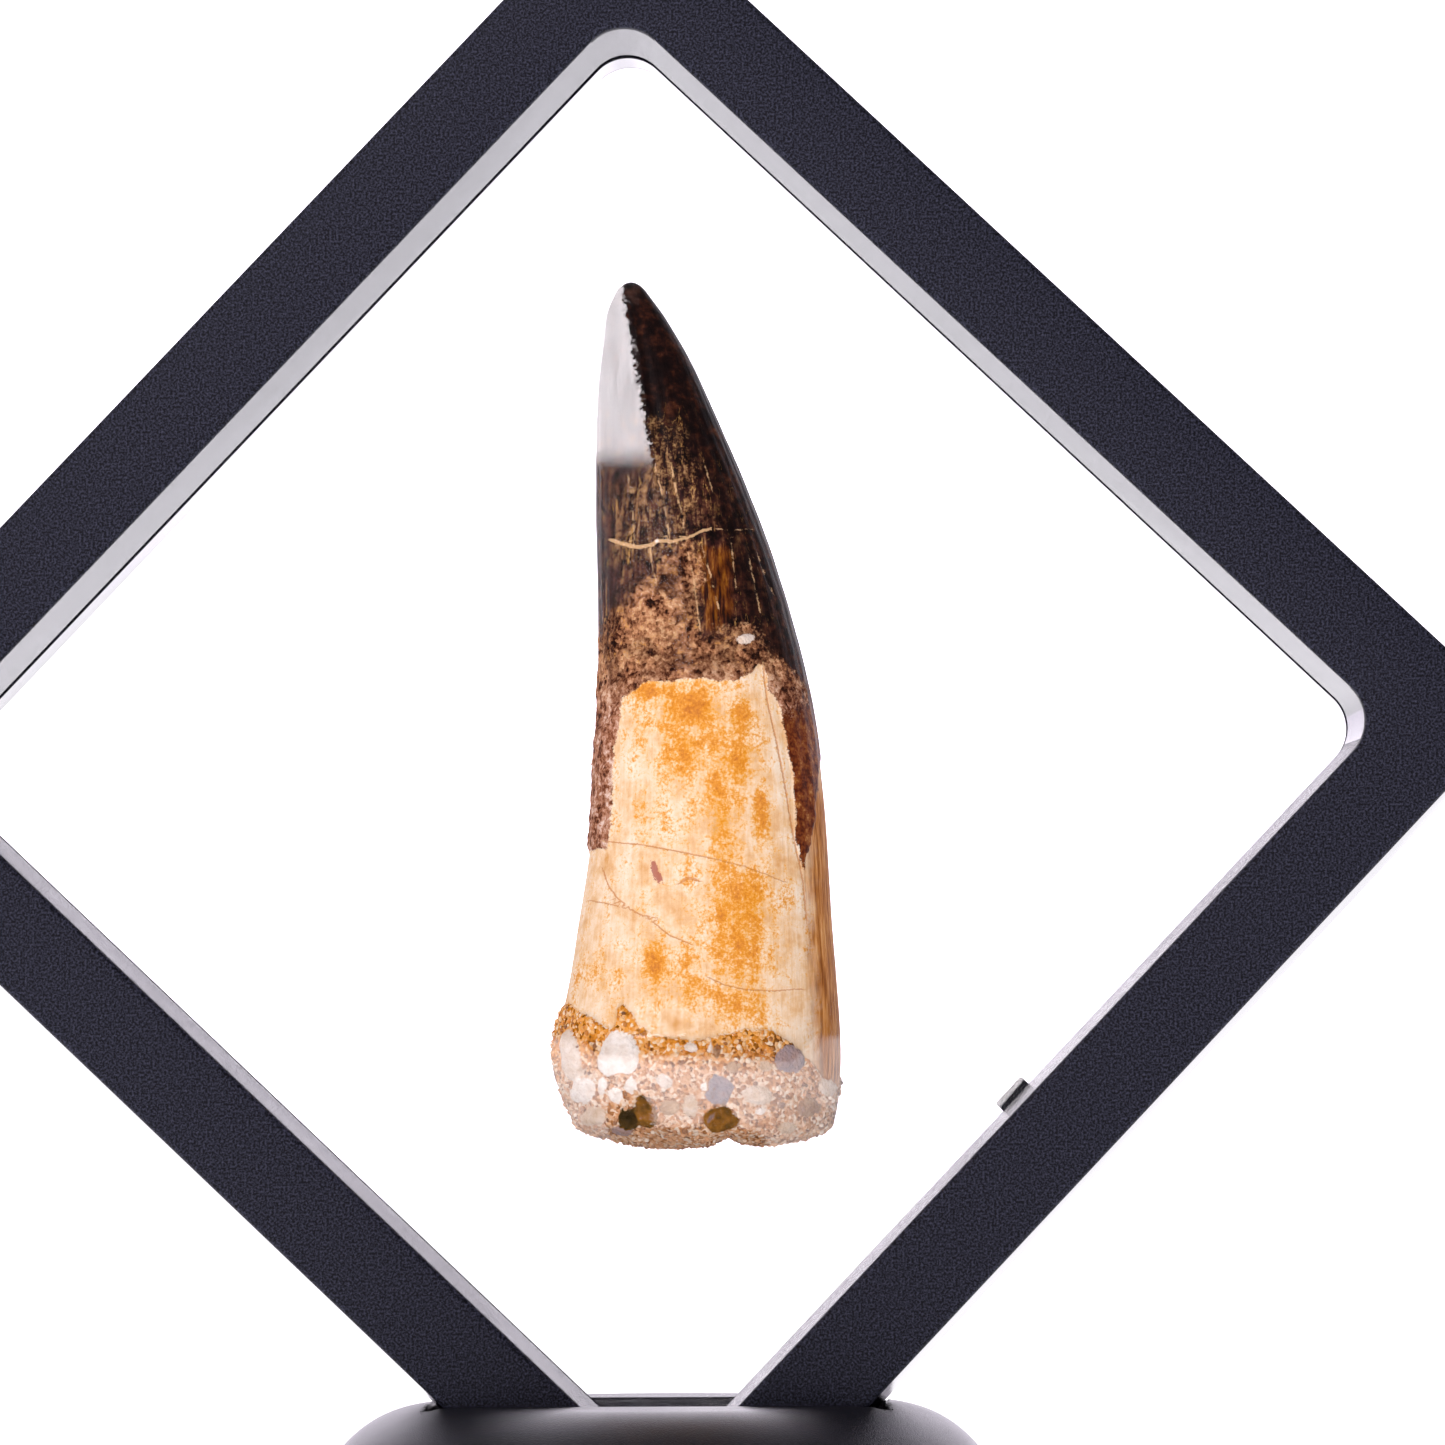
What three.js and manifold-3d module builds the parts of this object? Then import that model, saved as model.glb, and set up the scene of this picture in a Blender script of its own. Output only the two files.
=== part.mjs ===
// Framed fossil tooth: a tooth held between two clear stretched films in a square black case,
// which stands on one corner in the slot of a round base.
// Millimetres, +Z up. The viewer stands on the -Y side, with +X to the right.
// The origin is the middle of the base's underside.

import * as THREE from 'three';
import { mergeVertices } from 'three/addons/utils/BufferGeometryUtils.js';
import Module from 'manifold-3d';

const wasm = await Module();
wasm.setup();

// Room left between neighbouring pieces
const GAP = 0.3;

// Base: a round puck with a slot for the case's corner
const BASE_HEIGHT = 21;
const BASE_RADIUS = 30.5;
const BASE_SHOULDER = 10.6;
const BASE_FOOT_BEVEL = 0.8;
const BASE_SIDES = 48;
const SHOULDER_STEPS = 8;
const SLOT_LENGTH = 40;
const SLOT_ROOM_ABOVE = 5;

// Case: two halves that meet on the middle plane, square seen from the front
const CASE_SIDE = 110;
const CASE_DEPTH = 20;
const CASE_CORNER = 5;
const OUTER_DRAFT = 0.93;
const OPENING_SIDE = 90.4;
const OPENING_CORNER = 2.5;
const INNER_DRAFT = 0.6;
const EDGE_ROUND = 0.6;
const CORNER_STEPS = 6;
const CASE_LEAN = 1.4;
const CASE_SHIFT = -1;
const CASE_TOP_ABOVE_LIP = 57.9;

// Rib that snaps the halves together, and the pocket that each film's rim lies in
const RIB_INNER = 51;
const RIB_WIDTH = 1.4;
const RIB_TAPER = 0.15;
const RIB_HEIGHT = 1.5;
const RIB_CORNER = 3;
const RIM_POCKET = 48.5;
const RIM_POCKET_CORNER = 2;

// Latch tab in the middle of the lower right side, on the rear half's inner wall
const TAB_LENGTH = 3.3;
const TAB_RISE = 0.95;
const TAB_DEPTH = 2;
const TAB_BEHIND_JOINT = 1.3;
const TAB_ROOT = 1;

// Films: thin stretched sheets that rise over the tooth like a tent
const FILM_THICKNESS = 0.25;
const FILM_EDGE = 48.2;
const FILM_CORNER_CUT = 0.8;
const FILM_SLACK = 0.2;
const FILM_SPOKES = 40;
const FILM_RINGS_ON_TOOTH = [0, 0.35, 0.6, 0.8, 0.95, 1.1];
const FILM_RINGS_TO_LIP = [0.14, 0.32, 0.55, 0.8, 1];
const RELAX_CELLS = 96;
const RELAX_ROUNDS = 500;
const RELAX_PULL = 1.9;

// Tooth: rows of height above its foot, middle, half width and half depth
const TOOTH_FOOT = 43.4;
const TOOTH_SECTIONS = [
  [0, 5.6, 7.4, 5.4],
  [0.8, 5.3, 9.9, 7.4],
  [2.4, 5.0, 11.4, 8.7],
  [4.8, 4.8, 12.3, 9.3],
  [8, 4.55, 12.85, 9.6],
  [13, 4.9, 12.3, 9.5],
  [19.6, 5.2, 11.5, 9.2],
  [25.6, 5.5, 10.85, 8.9],
  [31.6, 5.5, 10.4, 8.6],
  [37.6, 5.35, 9.85, 8.25],
  [43.6, 4.9, 9.1, 7.65],
  [49.6, 4.05, 8.3, 7],
  [55.6, 3.0, 7.35, 6.2],
  [61.6, 1.8, 6.15, 5.2],
  [67.6, 0.6, 4.75, 4.05],
  [72, -0.25, 3.45, 2.95],
  [75, -0.95, 2.25, 1.95],
  [76.7, -1.2, 1.25, 1.1],
];
const TOOTH_TIP = [77.4, -1.3];
const TOOTH_RINGS = 30;
const TOOTH_SIDES = 40;
const TOOTH_ROUNDNESS = 2.15;
const MATRIX_TOP = 10;
const MATRIX_RELIEF = 0.35;

const CASE_HEIGHT = BASE_HEIGHT + CASE_TOP_ABOVE_LIP;
const CASE_TURN = THREE.MathUtils.degToRad(45 - CASE_LEAN);

// Closed solid from a list of points and triangles: shared points become one, slivers of no
// area go, and the faces are turned outwards
function solid(points, triangles) {
  const raw = new THREE.BufferGeometry();
  raw.setAttribute('position', new THREE.Float32BufferAttribute(points.flat(), 3));
  raw.setIndex(triangles.flat());
  const geometry = mergeVertices(raw, 1e-4);
  const index = geometry.getIndex().array;
  const kept = [];
  for (let i = 0; i < index.length; i += 3) {
    const [a, b, c] = [index[i], index[i + 1], index[i + 2]];
    if (a !== b && b !== c && c !== a) kept.push([a, b, c]);
  }
  const place = geometry.getAttribute('position');
  const corner = (n) => new THREE.Vector3().fromBufferAttribute(place, n);
  let volume = 0;
  for (const [a, b, c] of kept) volume += corner(a).dot(corner(b).cross(corner(c))) / 6;
  geometry.setIndex(kept.flatMap(([a, b, c]) => (volume > 0 ? [a, b, c] : [a, c, b])));
  return geometry;
}

// Triangles between rings of equal length. A wrapped ring list joins its last ring to its first.
function skin(rings, count, wrapped) {
  const triangles = [];
  const last = wrapped ? rings : rings - 1;
  for (let i = 0; i < last; i++) {
    for (let j = 0; j < count; j++) {
      const next = (i + 1) % rings;
      const a = i * count + j;
      const b = i * count + (j + 1) % count;
      const c = next * count + (j + 1) % count;
      const d = next * count + j;
      triangles.push([a, b, c], [a, c, d]);
    }
  }
  return triangles;
}

function toManifold(geometry) {
  const bare = geometry.clone();
  bare.deleteAttribute('normal');
  bare.deleteAttribute('uv');
  const merged = mergeVertices(bare, 1e-4);
  return new wasm.Manifold(new wasm.Mesh({
    numProp: 3,
    vertProperties: new Float32Array(merged.getAttribute('position').array),
    triVerts: new Uint32Array(merged.getIndex().array),
  }));
}

function fromManifold(manifold) {
  const mesh = manifold.getMesh();
  const geometry = new THREE.BufferGeometry();
  geometry.setAttribute('position', new THREE.Float32BufferAttribute(mesh.vertProperties, 3));
  geometry.setIndex(Array.from(mesh.triVerts));
  return geometry;
}

function finish(name, geometry, look) {
  const plain = geometry.toNonIndexed();
  plain.computeVertexNormals();
  const mesh = new THREE.Mesh(plain, new THREE.MeshStandardMaterial(look));
  mesh.name = name;
  return mesh;
}

// Outline of a square with round corners, as points across and up
function roundedSquare(half, radius) {
  const points = [];
  for (let quarter = 0; quarter < 4; quarter++) {
    for (let step = 0; step <= CORNER_STEPS; step++) {
      const turn = (quarter + step / CORNER_STEPS) * Math.PI / 2;
      const sideways = [1, -1, -1, 1][quarter];
      const upwards = [1, 1, -1, -1][quarter];
      points.push([
        sideways * (half - radius) + radius * Math.cos(turn),
        upwards * (half - radius) + radius * Math.sin(turn),
      ]);
    }
  }
  return points;
}

// Case half: its section goes round the square. Each row is half side, corner radius and
// distance in front of the joint.
function caseSection(withRib) {
  const outer = CASE_SIDE / 2;
  const inner = OPENING_SIDE / 2;
  const face = CASE_DEPTH / 2;
  const rows = [];
  const outerRow = (inset, depth) => rows.push([outer - inset, CASE_CORNER - inset, depth]);
  const innerRow = (inset, depth) => rows.push([inner + inset, OPENING_CORNER + inset, depth]);
  const jointFace = GAP / 2;
  const pocketFace = jointFace + FILM_THICKNESS + GAP;
  outerRow(0, jointFace);
  for (const turn of [0, 45, 90]) {
    const bend = THREE.MathUtils.degToRad(turn);
    outerRow(OUTER_DRAFT + EDGE_ROUND * (1 - Math.cos(bend)), face - EDGE_ROUND * (1 - Math.sin(bend)));
  }
  for (const turn of [90, 45, 0]) {
    const bend = THREE.MathUtils.degToRad(turn);
    innerRow(INNER_DRAFT + EDGE_ROUND * (1 - Math.cos(bend)), face - EDGE_ROUND * (1 - Math.sin(bend)));
  }
  innerRow(0, pocketFace);
  rows.push([RIM_POCKET, RIM_POCKET_CORNER, pocketFace]);
  rows.push([RIM_POCKET, RIM_POCKET_CORNER, jointFace]);
  const room = withRib ? 0 : GAP;
  const reach = withRib ? jointFace - RIB_HEIGHT : jointFace + RIB_HEIGHT;
  rows.push([RIB_INNER - room, RIB_CORNER, jointFace]);
  rows.push([RIB_INNER + RIB_TAPER - room, RIB_CORNER, reach]);
  rows.push([RIB_INNER + RIB_WIDTH - RIB_TAPER + room, RIB_CORNER, reach]);
  rows.push([RIB_INNER + RIB_WIDTH + room, RIB_CORNER, jointFace]);
  return rows;
}

function caseHalf(side, withRib) {
  const rows = caseSection(withRib);
  const points = rows.flatMap(([half, radius, depth]) =>
    roundedSquare(half, radius).map(([x, z]) => [x, side * depth, z]));
  return solid(points, skin(rows.length, points.length / rows.length, true));
}

function latchTab() {
  const block = new THREE.BoxGeometry(TAB_RISE + TAB_ROOT, TAB_DEPTH, TAB_LENGTH);
  const middle = OPENING_SIDE / 2 - TAB_RISE + (TAB_RISE + TAB_ROOT) / 2;
  block.translate(middle, TAB_BEHIND_JOINT + TAB_DEPTH / 2, 0);
  return block;
}

function rearHalf() {
  return fromManifold(toManifold(caseHalf(1, false)).add(toManifold(latchTab())));
}

// Tooth: the value of one column of its sections at any height
function sectionValue(column) {
  const heights = TOOTH_SECTIONS.map((row) => row[0]);
  const values = TOOTH_SECTIONS.map((row) => row[column]);
  const curve = new THREE.CubicInterpolant(heights, values, 1);
  return (height) => curve.evaluate(THREE.MathUtils.clamp(height, 0, heights.at(-1)))[0];
}
const toothMiddle = sectionValue(1);
const toothHalfWidth = sectionValue(2);
const toothHalfDepth = sectionValue(3);
const TOOTH_BODY = TOOTH_SECTIONS.at(-1)[0];

// The stone grown onto the foot is lumpy, and the relief dies out upwards
function lumps(turn, height) {
  const fade = 1 - THREE.MathUtils.smoothstep(height, MATRIX_TOP - 4, MATRIX_TOP + 1);
  const waves = Math.sin(5 * turn + 0.9 * height) + Math.sin(8 * turn - 1.3 * height + 1);
  return MATRIX_RELIEF * fade * waves / 2;
}

function toothGeometry() {
  const points = [];
  for (let ring = 0; ring <= TOOTH_RINGS; ring++) {
    // Rings crowd together at the foot and at the tip, where the outline turns quickly
    const share = ring / TOOTH_RINGS;
    const height = TOOTH_BODY * (share - 0.11 * Math.sin(2 * Math.PI * share));
    for (let side = 0; side < TOOTH_SIDES; side++) {
      const turn = 2 * Math.PI * side / TOOTH_SIDES;
      const power = 2 / TOOTH_ROUNDNESS;
      const across = Math.sign(Math.cos(turn)) * Math.abs(Math.cos(turn)) ** power;
      const deep = Math.sign(Math.sin(turn)) * Math.abs(Math.sin(turn)) ** power;
      const bulge = lumps(turn, height);
      points.push([
        toothMiddle(height) + (toothHalfWidth(height) + bulge) * across,
        (toothHalfDepth(height) + bulge) * deep,
        height,
      ]);
    }
  }
  const triangles = skin(TOOTH_RINGS + 1, TOOTH_SIDES, false);
  const foot = points.length;
  points.push([toothMiddle(0), 0, 0]);
  const tip = points.length;
  points.push([TOOTH_TIP[1], 0, TOOTH_TIP[0]]);
  for (let side = 0; side < TOOTH_SIDES; side++) {
    const next = (side + 1) % TOOTH_SIDES;
    const top = TOOTH_RINGS * TOOTH_SIDES;
    triangles.push([foot, next, side], [tip, top + side, top + next]);
  }
  return solid(points, triangles);
}

// Half the tooth's thickness under a point of the case's middle plane, or 0 beside the tooth
function toothRise(x, z) {
  const height = z - TOOTH_FOOT;
  if (height < 0 || height > TOOTH_TIP[0]) return 0;
  const nearTip = Math.max(0, height - TOOTH_BODY) / (TOOTH_TIP[0] - TOOTH_BODY);
  const shrink = Math.sqrt(1 - nearTip);
  const reach = Math.abs(x - toothMiddle(height)) / (toothHalfWidth(height) * shrink + 1e-6);
  if (reach >= 1) return 0;
  return toothHalfDepth(height) * shrink * (1 - reach ** TOOTH_ROUNDNESS) ** (1 / TOOTH_ROUNDNESS);
}

// From the case's own square to the upright plane of the tooth, and back
function toUpright(a, b) {
  return [
    a * Math.cos(CASE_TURN) + b * Math.sin(CASE_TURN),
    -a * Math.sin(CASE_TURN) + b * Math.cos(CASE_TURN) + CASE_HEIGHT,
  ];
}

function toSquare(x, z) {
  const up = z - CASE_HEIGHT;
  return [
    x * Math.cos(CASE_TURN) - up * Math.sin(CASE_TURN),
    x * Math.sin(CASE_TURN) + up * Math.cos(CASE_TURN),
  ];
}

// Stretched film: every point settles at the mean of its neighbours, but never below the tooth
function relaxFilm() {
  const size = RELAX_CELLS + 1;
  const step = OPENING_SIDE / RELAX_CELLS;
  const rise = new Float64Array(size * size);
  const floor = new Float64Array(size * size);
  for (let i = 0; i < size; i++) {
    for (let j = 0; j < size; j++) {
      const [x, z] = toUpright(i * step - OPENING_SIDE / 2, j * step - OPENING_SIDE / 2);
      const tooth = toothRise(x, z);
      floor[i * size + j] = tooth > 0 ? tooth + GAP + FILM_SLACK : 0;
      rise[i * size + j] = floor[i * size + j];
    }
  }
  for (let round = 0; round < RELAX_ROUNDS; round++) {
    for (let i = 1; i < RELAX_CELLS; i++) {
      for (let j = 1; j < RELAX_CELLS; j++) {
        const n = i * size + j;
        const mean = (rise[n - 1] + rise[n + 1] + rise[n - size] + rise[n + size]) / 4;
        rise[n] = Math.max(floor[n], rise[n] + RELAX_PULL * (mean - rise[n]));
      }
    }
  }
  return (a, b) => {
    const u = THREE.MathUtils.clamp((a + OPENING_SIDE / 2) / step, 0, RELAX_CELLS - 1e-6);
    const v = THREE.MathUtils.clamp((b + OPENING_SIDE / 2) / step, 0, RELAX_CELLS - 1e-6);
    const n = Math.floor(u) * size + Math.floor(v);
    const near = THREE.MathUtils.lerp(rise[n], rise[n + 1], v % 1);
    const far = THREE.MathUtils.lerp(rise[n + size], rise[n + size + 1], v % 1);
    return THREE.MathUtils.lerp(near, far, u % 1);
  };
}
const filmRise = relaxFilm();

// Point of the tooth's outline on one spoke, and the point of its middle line that the spoke
// starts from, both in the case's own square
function spoke(turn) {
  const middle = TOOTH_TIP[0] / 2;
  const height = THREE.MathUtils.clamp(middle + middle * Math.sin(turn), 0.3, TOOTH_TIP[0] - 0.3);
  const ends = 3;
  const seat = THREE.MathUtils.clamp(height, ends, TOOTH_TIP[0] - ends);
  const width = toothHalfWidth(height) * Math.abs(Math.cos(turn)) ** 0.25 * Math.sign(Math.cos(turn));
  return {
    start: toSquare(toothMiddle(seat), seat + TOOTH_FOOT),
    edge: toSquare(toothMiddle(height) + width, height + TOOTH_FOOT),
  };
}

// Point at a share of the way round a square's boundary. The walk starts at the corner that
// points right once the case stands on its corner.
function squareWalk(half, cut, share) {
  const side = Math.floor(share * 4) % 4;
  const along = share * 4 - Math.floor(share * 4);
  const corners = [[half, half], [-half, half], [-half, -half], [half, -half]];
  const [from, to] = [corners[side], corners[(side + 1) % 4]];
  const trim = along === 0 ? 1 - cut / half : 1;
  return [0, 1].map((axis) => trim * THREE.MathUtils.lerp(from[axis], to[axis], along));
}

function filmGeometry(side) {
  const inner = [];
  const lip = OPENING_SIDE / 2;
  const rings = FILM_RINGS_ON_TOOTH.length + FILM_RINGS_TO_LIP.length + 1;
  const mix = (p, q, share) => p.map((value, axis) => THREE.MathUtils.lerp(value, q[axis], share));
  for (let ring = 0; ring < rings; ring++) {
    for (let n = 0; n < FILM_SPOKES; n++) {
      const share = n / FILM_SPOKES;
      const { start, edge } = spoke(2 * Math.PI * share);
      const toLip = squareWalk(lip, 0, share);
      let flat = squareWalk(FILM_EDGE, FILM_CORNER_CUT, share);
      if (ring < FILM_RINGS_ON_TOOTH.length) {
        flat = mix(start, edge, FILM_RINGS_ON_TOOTH[ring]);
      } else if (ring < rings - 1) {
        const beside = mix(start, edge, FILM_RINGS_ON_TOOTH.at(-1));
        flat = mix(beside, toLip, FILM_RINGS_TO_LIP[ring - FILM_RINGS_ON_TOOTH.length]);
      }
      inner.push(new THREE.Vector3(flat[0], side * (GAP / 2 + filmRise(...flat)), flat[1]));
    }
  }
  const sheet = solidSheet(inner, rings, side);
  return sheet;
}

// The sheet's second face lies one thickness off the first, along the surface's own normal
function solidSheet(inner, rings, side) {
  const count = inner.length;
  const faces = skin(rings, FILM_SPOKES, false);
  const normals = inner.map(() => new THREE.Vector3());
  for (const [a, b, c] of faces) {
    const normal = inner[b].clone().sub(inner[a]).cross(inner[c].clone().sub(inner[a]));
    if (normal.y * side < 0) normal.negate();
    for (const n of [a, b, c]) normals[n].add(normal);
  }
  // Spokes that start from one point share its normal
  const shared = new Map();
  const key = (point) => point.toArray().map((value) => value.toFixed(3)).join();
  inner.forEach((point, n) => {
    const sum = shared.get(key(point)) ?? new THREE.Vector3();
    shared.set(key(point), sum.add(normals[n]));
  });
  const outer = inner.map((point, n) => {
    const rim = n >= count - 2 * FILM_SPOKES;
    const way = rim ? new THREE.Vector3(0, side, 0) : shared.get(key(point)).clone().normalize();
    return point.clone().addScaledVector(way, FILM_THICKNESS);
  });
  const rest = (rings - 1) * FILM_SPOKES;
  const triangles = [...faces, ...faces.map(([a, b, c]) => [a + count, c + count, b + count])];
  for (let n = 0; n < FILM_SPOKES; n++) {
    const next = rest + (n + 1) % FILM_SPOKES;
    triangles.push([rest + n, next, rest + n + count], [next, next + count, rest + n + count]);
  }
  return solid([...inner, ...outer].map((point) => point.toArray()), triangles);
}

// Base: turned puck with a soft shoulder, less the slot
function baseProfile() {
  const flat = BASE_RADIUS - BASE_SHOULDER;
  const profile = [
    new THREE.Vector2(0, 0),
    new THREE.Vector2(BASE_RADIUS - BASE_FOOT_BEVEL, 0),
    new THREE.Vector2(BASE_RADIUS, BASE_FOOT_BEVEL),
  ];
  for (let step = 0; step <= SHOULDER_STEPS; step++) {
    const turn = (step / SHOULDER_STEPS) * Math.PI / 2;
    profile.push(new THREE.Vector2(
      flat + BASE_SHOULDER * Math.cos(turn),
      BASE_HEIGHT - BASE_SHOULDER + BASE_SHOULDER * Math.sin(turn),
    ));
  }
  profile.push(new THREE.Vector2(0, BASE_HEIGHT));
  return profile;
}

function baseGeometry() {
  const puck = new THREE.LatheGeometry(baseProfile(), BASE_SIDES);
  puck.rotateX(Math.PI / 2);
  const cornerReach = (CASE_SIDE / 2) * Math.SQRT2 - CASE_CORNER * (Math.SQRT2 - 1);
  const floor = CASE_HEIGHT - cornerReach - GAP;
  const depth = BASE_HEIGHT + SLOT_ROOM_ABOVE - floor;
  const slot = new THREE.BoxGeometry(SLOT_LENGTH, CASE_DEPTH + 2 * GAP, depth);
  slot.translate(0, 0, floor + depth / 2);
  return fromManifold(toManifold(puck).subtract(toManifold(slot)));
}

const blackPlastic = { color: 0x2b2b36, roughness: 0.55, metalness: 0 };
const basePlastic = { color: 0x24242c, roughness: 0.5, metalness: 0 };
const clearFilm = { color: 0xf2f4f8, roughness: 0.08, metalness: 0, transparent: true, opacity: 0.35 };
const fossil = { color: 0xb98a55, roughness: 0.6, metalness: 0 };

const group = new THREE.Group();

const standingCase = new THREE.Group();
standingCase.position.set(CASE_SHIFT, 0, CASE_HEIGHT);
standingCase.rotation.y = CASE_TURN;
standingCase.add(finish('front_frame', caseHalf(-1, true), blackPlastic));
standingCase.add(finish('rear_frame', rearHalf(), blackPlastic));
standingCase.add(finish('front_film', filmGeometry(-1), clearFilm));
standingCase.add(finish('rear_film', filmGeometry(1), clearFilm));
group.add(standingCase);

const tooth = finish('tooth', toothGeometry(), fossil);
tooth.position.set(CASE_SHIFT, 0, TOOTH_FOOT);
group.add(tooth);

group.add(finish('stand', baseGeometry(), basePlastic));

export default group;
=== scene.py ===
"""Framed fossil tooth: a tooth between two clear stretched films in a square black case, which
stands on one corner in a round slotted base. Sizes are millimetres until a mesh is made."""

import math

import bmesh
import bpy
import numpy as np
from bpy.props import FloatProperty, FloatVectorProperty, IntProperty, PointerProperty
from mathutils import Matrix, Vector


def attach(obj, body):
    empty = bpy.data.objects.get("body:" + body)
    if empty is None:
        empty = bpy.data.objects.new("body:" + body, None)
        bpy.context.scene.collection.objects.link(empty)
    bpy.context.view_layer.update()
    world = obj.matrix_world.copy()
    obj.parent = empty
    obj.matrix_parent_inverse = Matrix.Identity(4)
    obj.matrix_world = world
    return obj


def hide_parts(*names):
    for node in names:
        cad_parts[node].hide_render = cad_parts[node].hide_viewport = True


bl_info = {
    "name": "Framed fossil tooth",
    "version": (1, 0, 0),
    "blender": (4, 5, 0),
    "location": "3D View > Sidebar > Fossil",
    "description": "Builds a fossil tooth in its clear-film display case, around the packed frame",
    "category": "Object",
}

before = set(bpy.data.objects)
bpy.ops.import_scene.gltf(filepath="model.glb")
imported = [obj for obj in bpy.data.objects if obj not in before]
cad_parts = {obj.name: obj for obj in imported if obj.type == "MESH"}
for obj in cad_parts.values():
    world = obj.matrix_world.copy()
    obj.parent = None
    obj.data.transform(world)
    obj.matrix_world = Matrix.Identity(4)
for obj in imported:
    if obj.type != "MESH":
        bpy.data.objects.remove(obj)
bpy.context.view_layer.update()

MM = 0.001

# Where the case stands: the turn of its square and the height of its middle
CASE_TURN = math.radians(43.6)
CASE_SHIFT = -1.0
CASE_HEIGHT = 78.9
TOOTH_FOOT = 43.4

# Case section
OUTER_DRAFT = 0.93
INNER_DRAFT = 0.6
OPENING_HALF = 45.2
OPENING_CORNER = 3.7
JOINT_FACE = 0.06
POCKET_FACE = 0.7
RIM_POCKET = 48.5
RIB_INNER = 51.0
RIB_WIDTH = 1.4

# Tooth: rows of height above its foot, middle, half width and half depth
TOOTH_ROWS = np.array([
    [0, 5.6, 7.4, 5.4], [0.8, 5.3, 9.9, 7.4], [2.4, 5.0, 11.4, 8.7], [4.8, 4.8, 12.3, 9.3],
    [8, 4.55, 12.85, 9.6], [13, 4.9, 12.3, 9.5], [19.6, 5.2, 11.5, 9.2], [25.6, 5.5, 10.85, 8.9],
    [31.6, 5.5, 10.4, 8.6], [37.6, 5.35, 9.85, 8.25], [43.6, 4.9, 9.1, 7.65], [49.6, 4.05, 8.3, 7],
    [55.6, 3.0, 7.35, 6.2], [61.6, 1.8, 6.15, 5.2], [67.6, 0.6, 4.75, 4.05], [72, -0.25, 3.45, 2.95],
    [75, -0.95, 2.25, 1.95], [76.7, -1.2, 1.25, 1.1],
])
TOOTH_BODY = 76.7
TOOTH_TIP = 77.4
TOOTH_ROUNDNESS = 2.15
TOOTH_SIDES = 300
UNDER_RINGS = 16
BODY_RINGS = 294
TIP_RINGS = 8

# Outlines of the tooth's zones, seen from the front and from behind: x from the case's middle
# line and height above the foot. The dark crown reaches down both edges of the root.
CROWN_FRONT = [
    (-30, 95), (-30, 26.2), (-4.9, 26.3), (-4.1, 26.4), (-3.3, 26.1), (-2.9, 30.6), (-2.8, 33.2),
    (-2.3, 37.6), (-2.0, 39.6), (0.3, 40.8), (4.2, 41.0), (8.1, 40.9), (9.6, 41.7), (10.3, 42.6),
    (10.7, 42.1), (11.0, 40.1), (11.9, 39.2), (12.7, 35.7), (13.1, 33.1), (13.5, 27.8), (13.7, 25.1),
    (14.2, 24.2), (15.0, 27.9), (15.3, 31.5), (15.5, 34.0), (16.5, 35.5), (30, 36), (30, 95),
]
CROWN_REAR = [
    (-30, 95), (-30, 26.2), (-4.9, 26.3), (-3.4, 29), (-2.5, 36), (-0.5, 39), (2.5, 40.2), (6, 39.5),
    (9, 40.8), (11, 38.5), (12.6, 33), (13.8, 29.5), (14.8, 33), (15.6, 35.5), (30, 36), (30, 95),
]
CRUST_FRONT = [
    (-30, 45.2), (-4.4, 45.2), (-2.8, 47.3), (-1.3, 48.4), (-0.3, 49.8), (1.1, 50.6), (2.2, 51.7),
    (4.2, 53.0), (4.8, 51.6), (5.0, 48.0), (5.2, 44.8), (6.6, 45.0), (8.1, 45.6), (9.9, 45.6),
    (10.5, 44.6), (11.0, 43.5), (12.9, 42.2), (14.3, 40.4), (12.8, 38), (11, 38), (11, 20), (-30, 20),
]
CRUST_REAR = [
    (-30, 45.2), (-3, 46.5), (0, 49), (3, 47.5), (6, 50.5), (8.5, 49), (10.5, 46), (12.5, 43),
    (14.3, 40.5), (12.8, 38), (11, 38), (11, 20), (-30, 20),
]
STONE_FRONT = [
    (-30, 12.6), (-8.1, 12.4), (-6.7, 12.7), (-4.8, 11.3), (-3.4, 10.3), (-2.6, 10.5), (-2.4, 12.3),
    (-1.9, 12.5), (-1.4, 12.0), (-0.5, 10.7), (0.6, 9.9), (4.1, 9.3), (6.2, 9.6), (8.0, 10.0),
    (8.9, 10.3), (11.0, 10.2), (12.6, 9.0), (13.6, 8.4), (14.7, 7.3), (15.5, 6.2), (17, 5.4),
    (30, 5.4), (30, -20), (-30, -20),
]
STONE_REAR = [
    (-30, 12.6), (-7, 11.8), (-4, 9.5), (0, 10.8), (3, 12.6), (6, 11), (9, 9.2), (12, 10),
    (14.5, 8), (16, 6.2), (30, 5.4), (30, -20), (-30, -20),
]
DUSTY_FRONT = [(-0.1, 64.6), (2.6, 64), (4.4, 60), (5.6, 54.5), (5, 52), (-2.4, 52), (-2.5, 58.5), (-0.4, 60)]
AMBER_FRONT = [(4.9, 53.2), (7.3, 53.2), (8.0, 49.5), (7.2, 45.6), (5.4, 45.2), (5.1, 48.2)]

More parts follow.
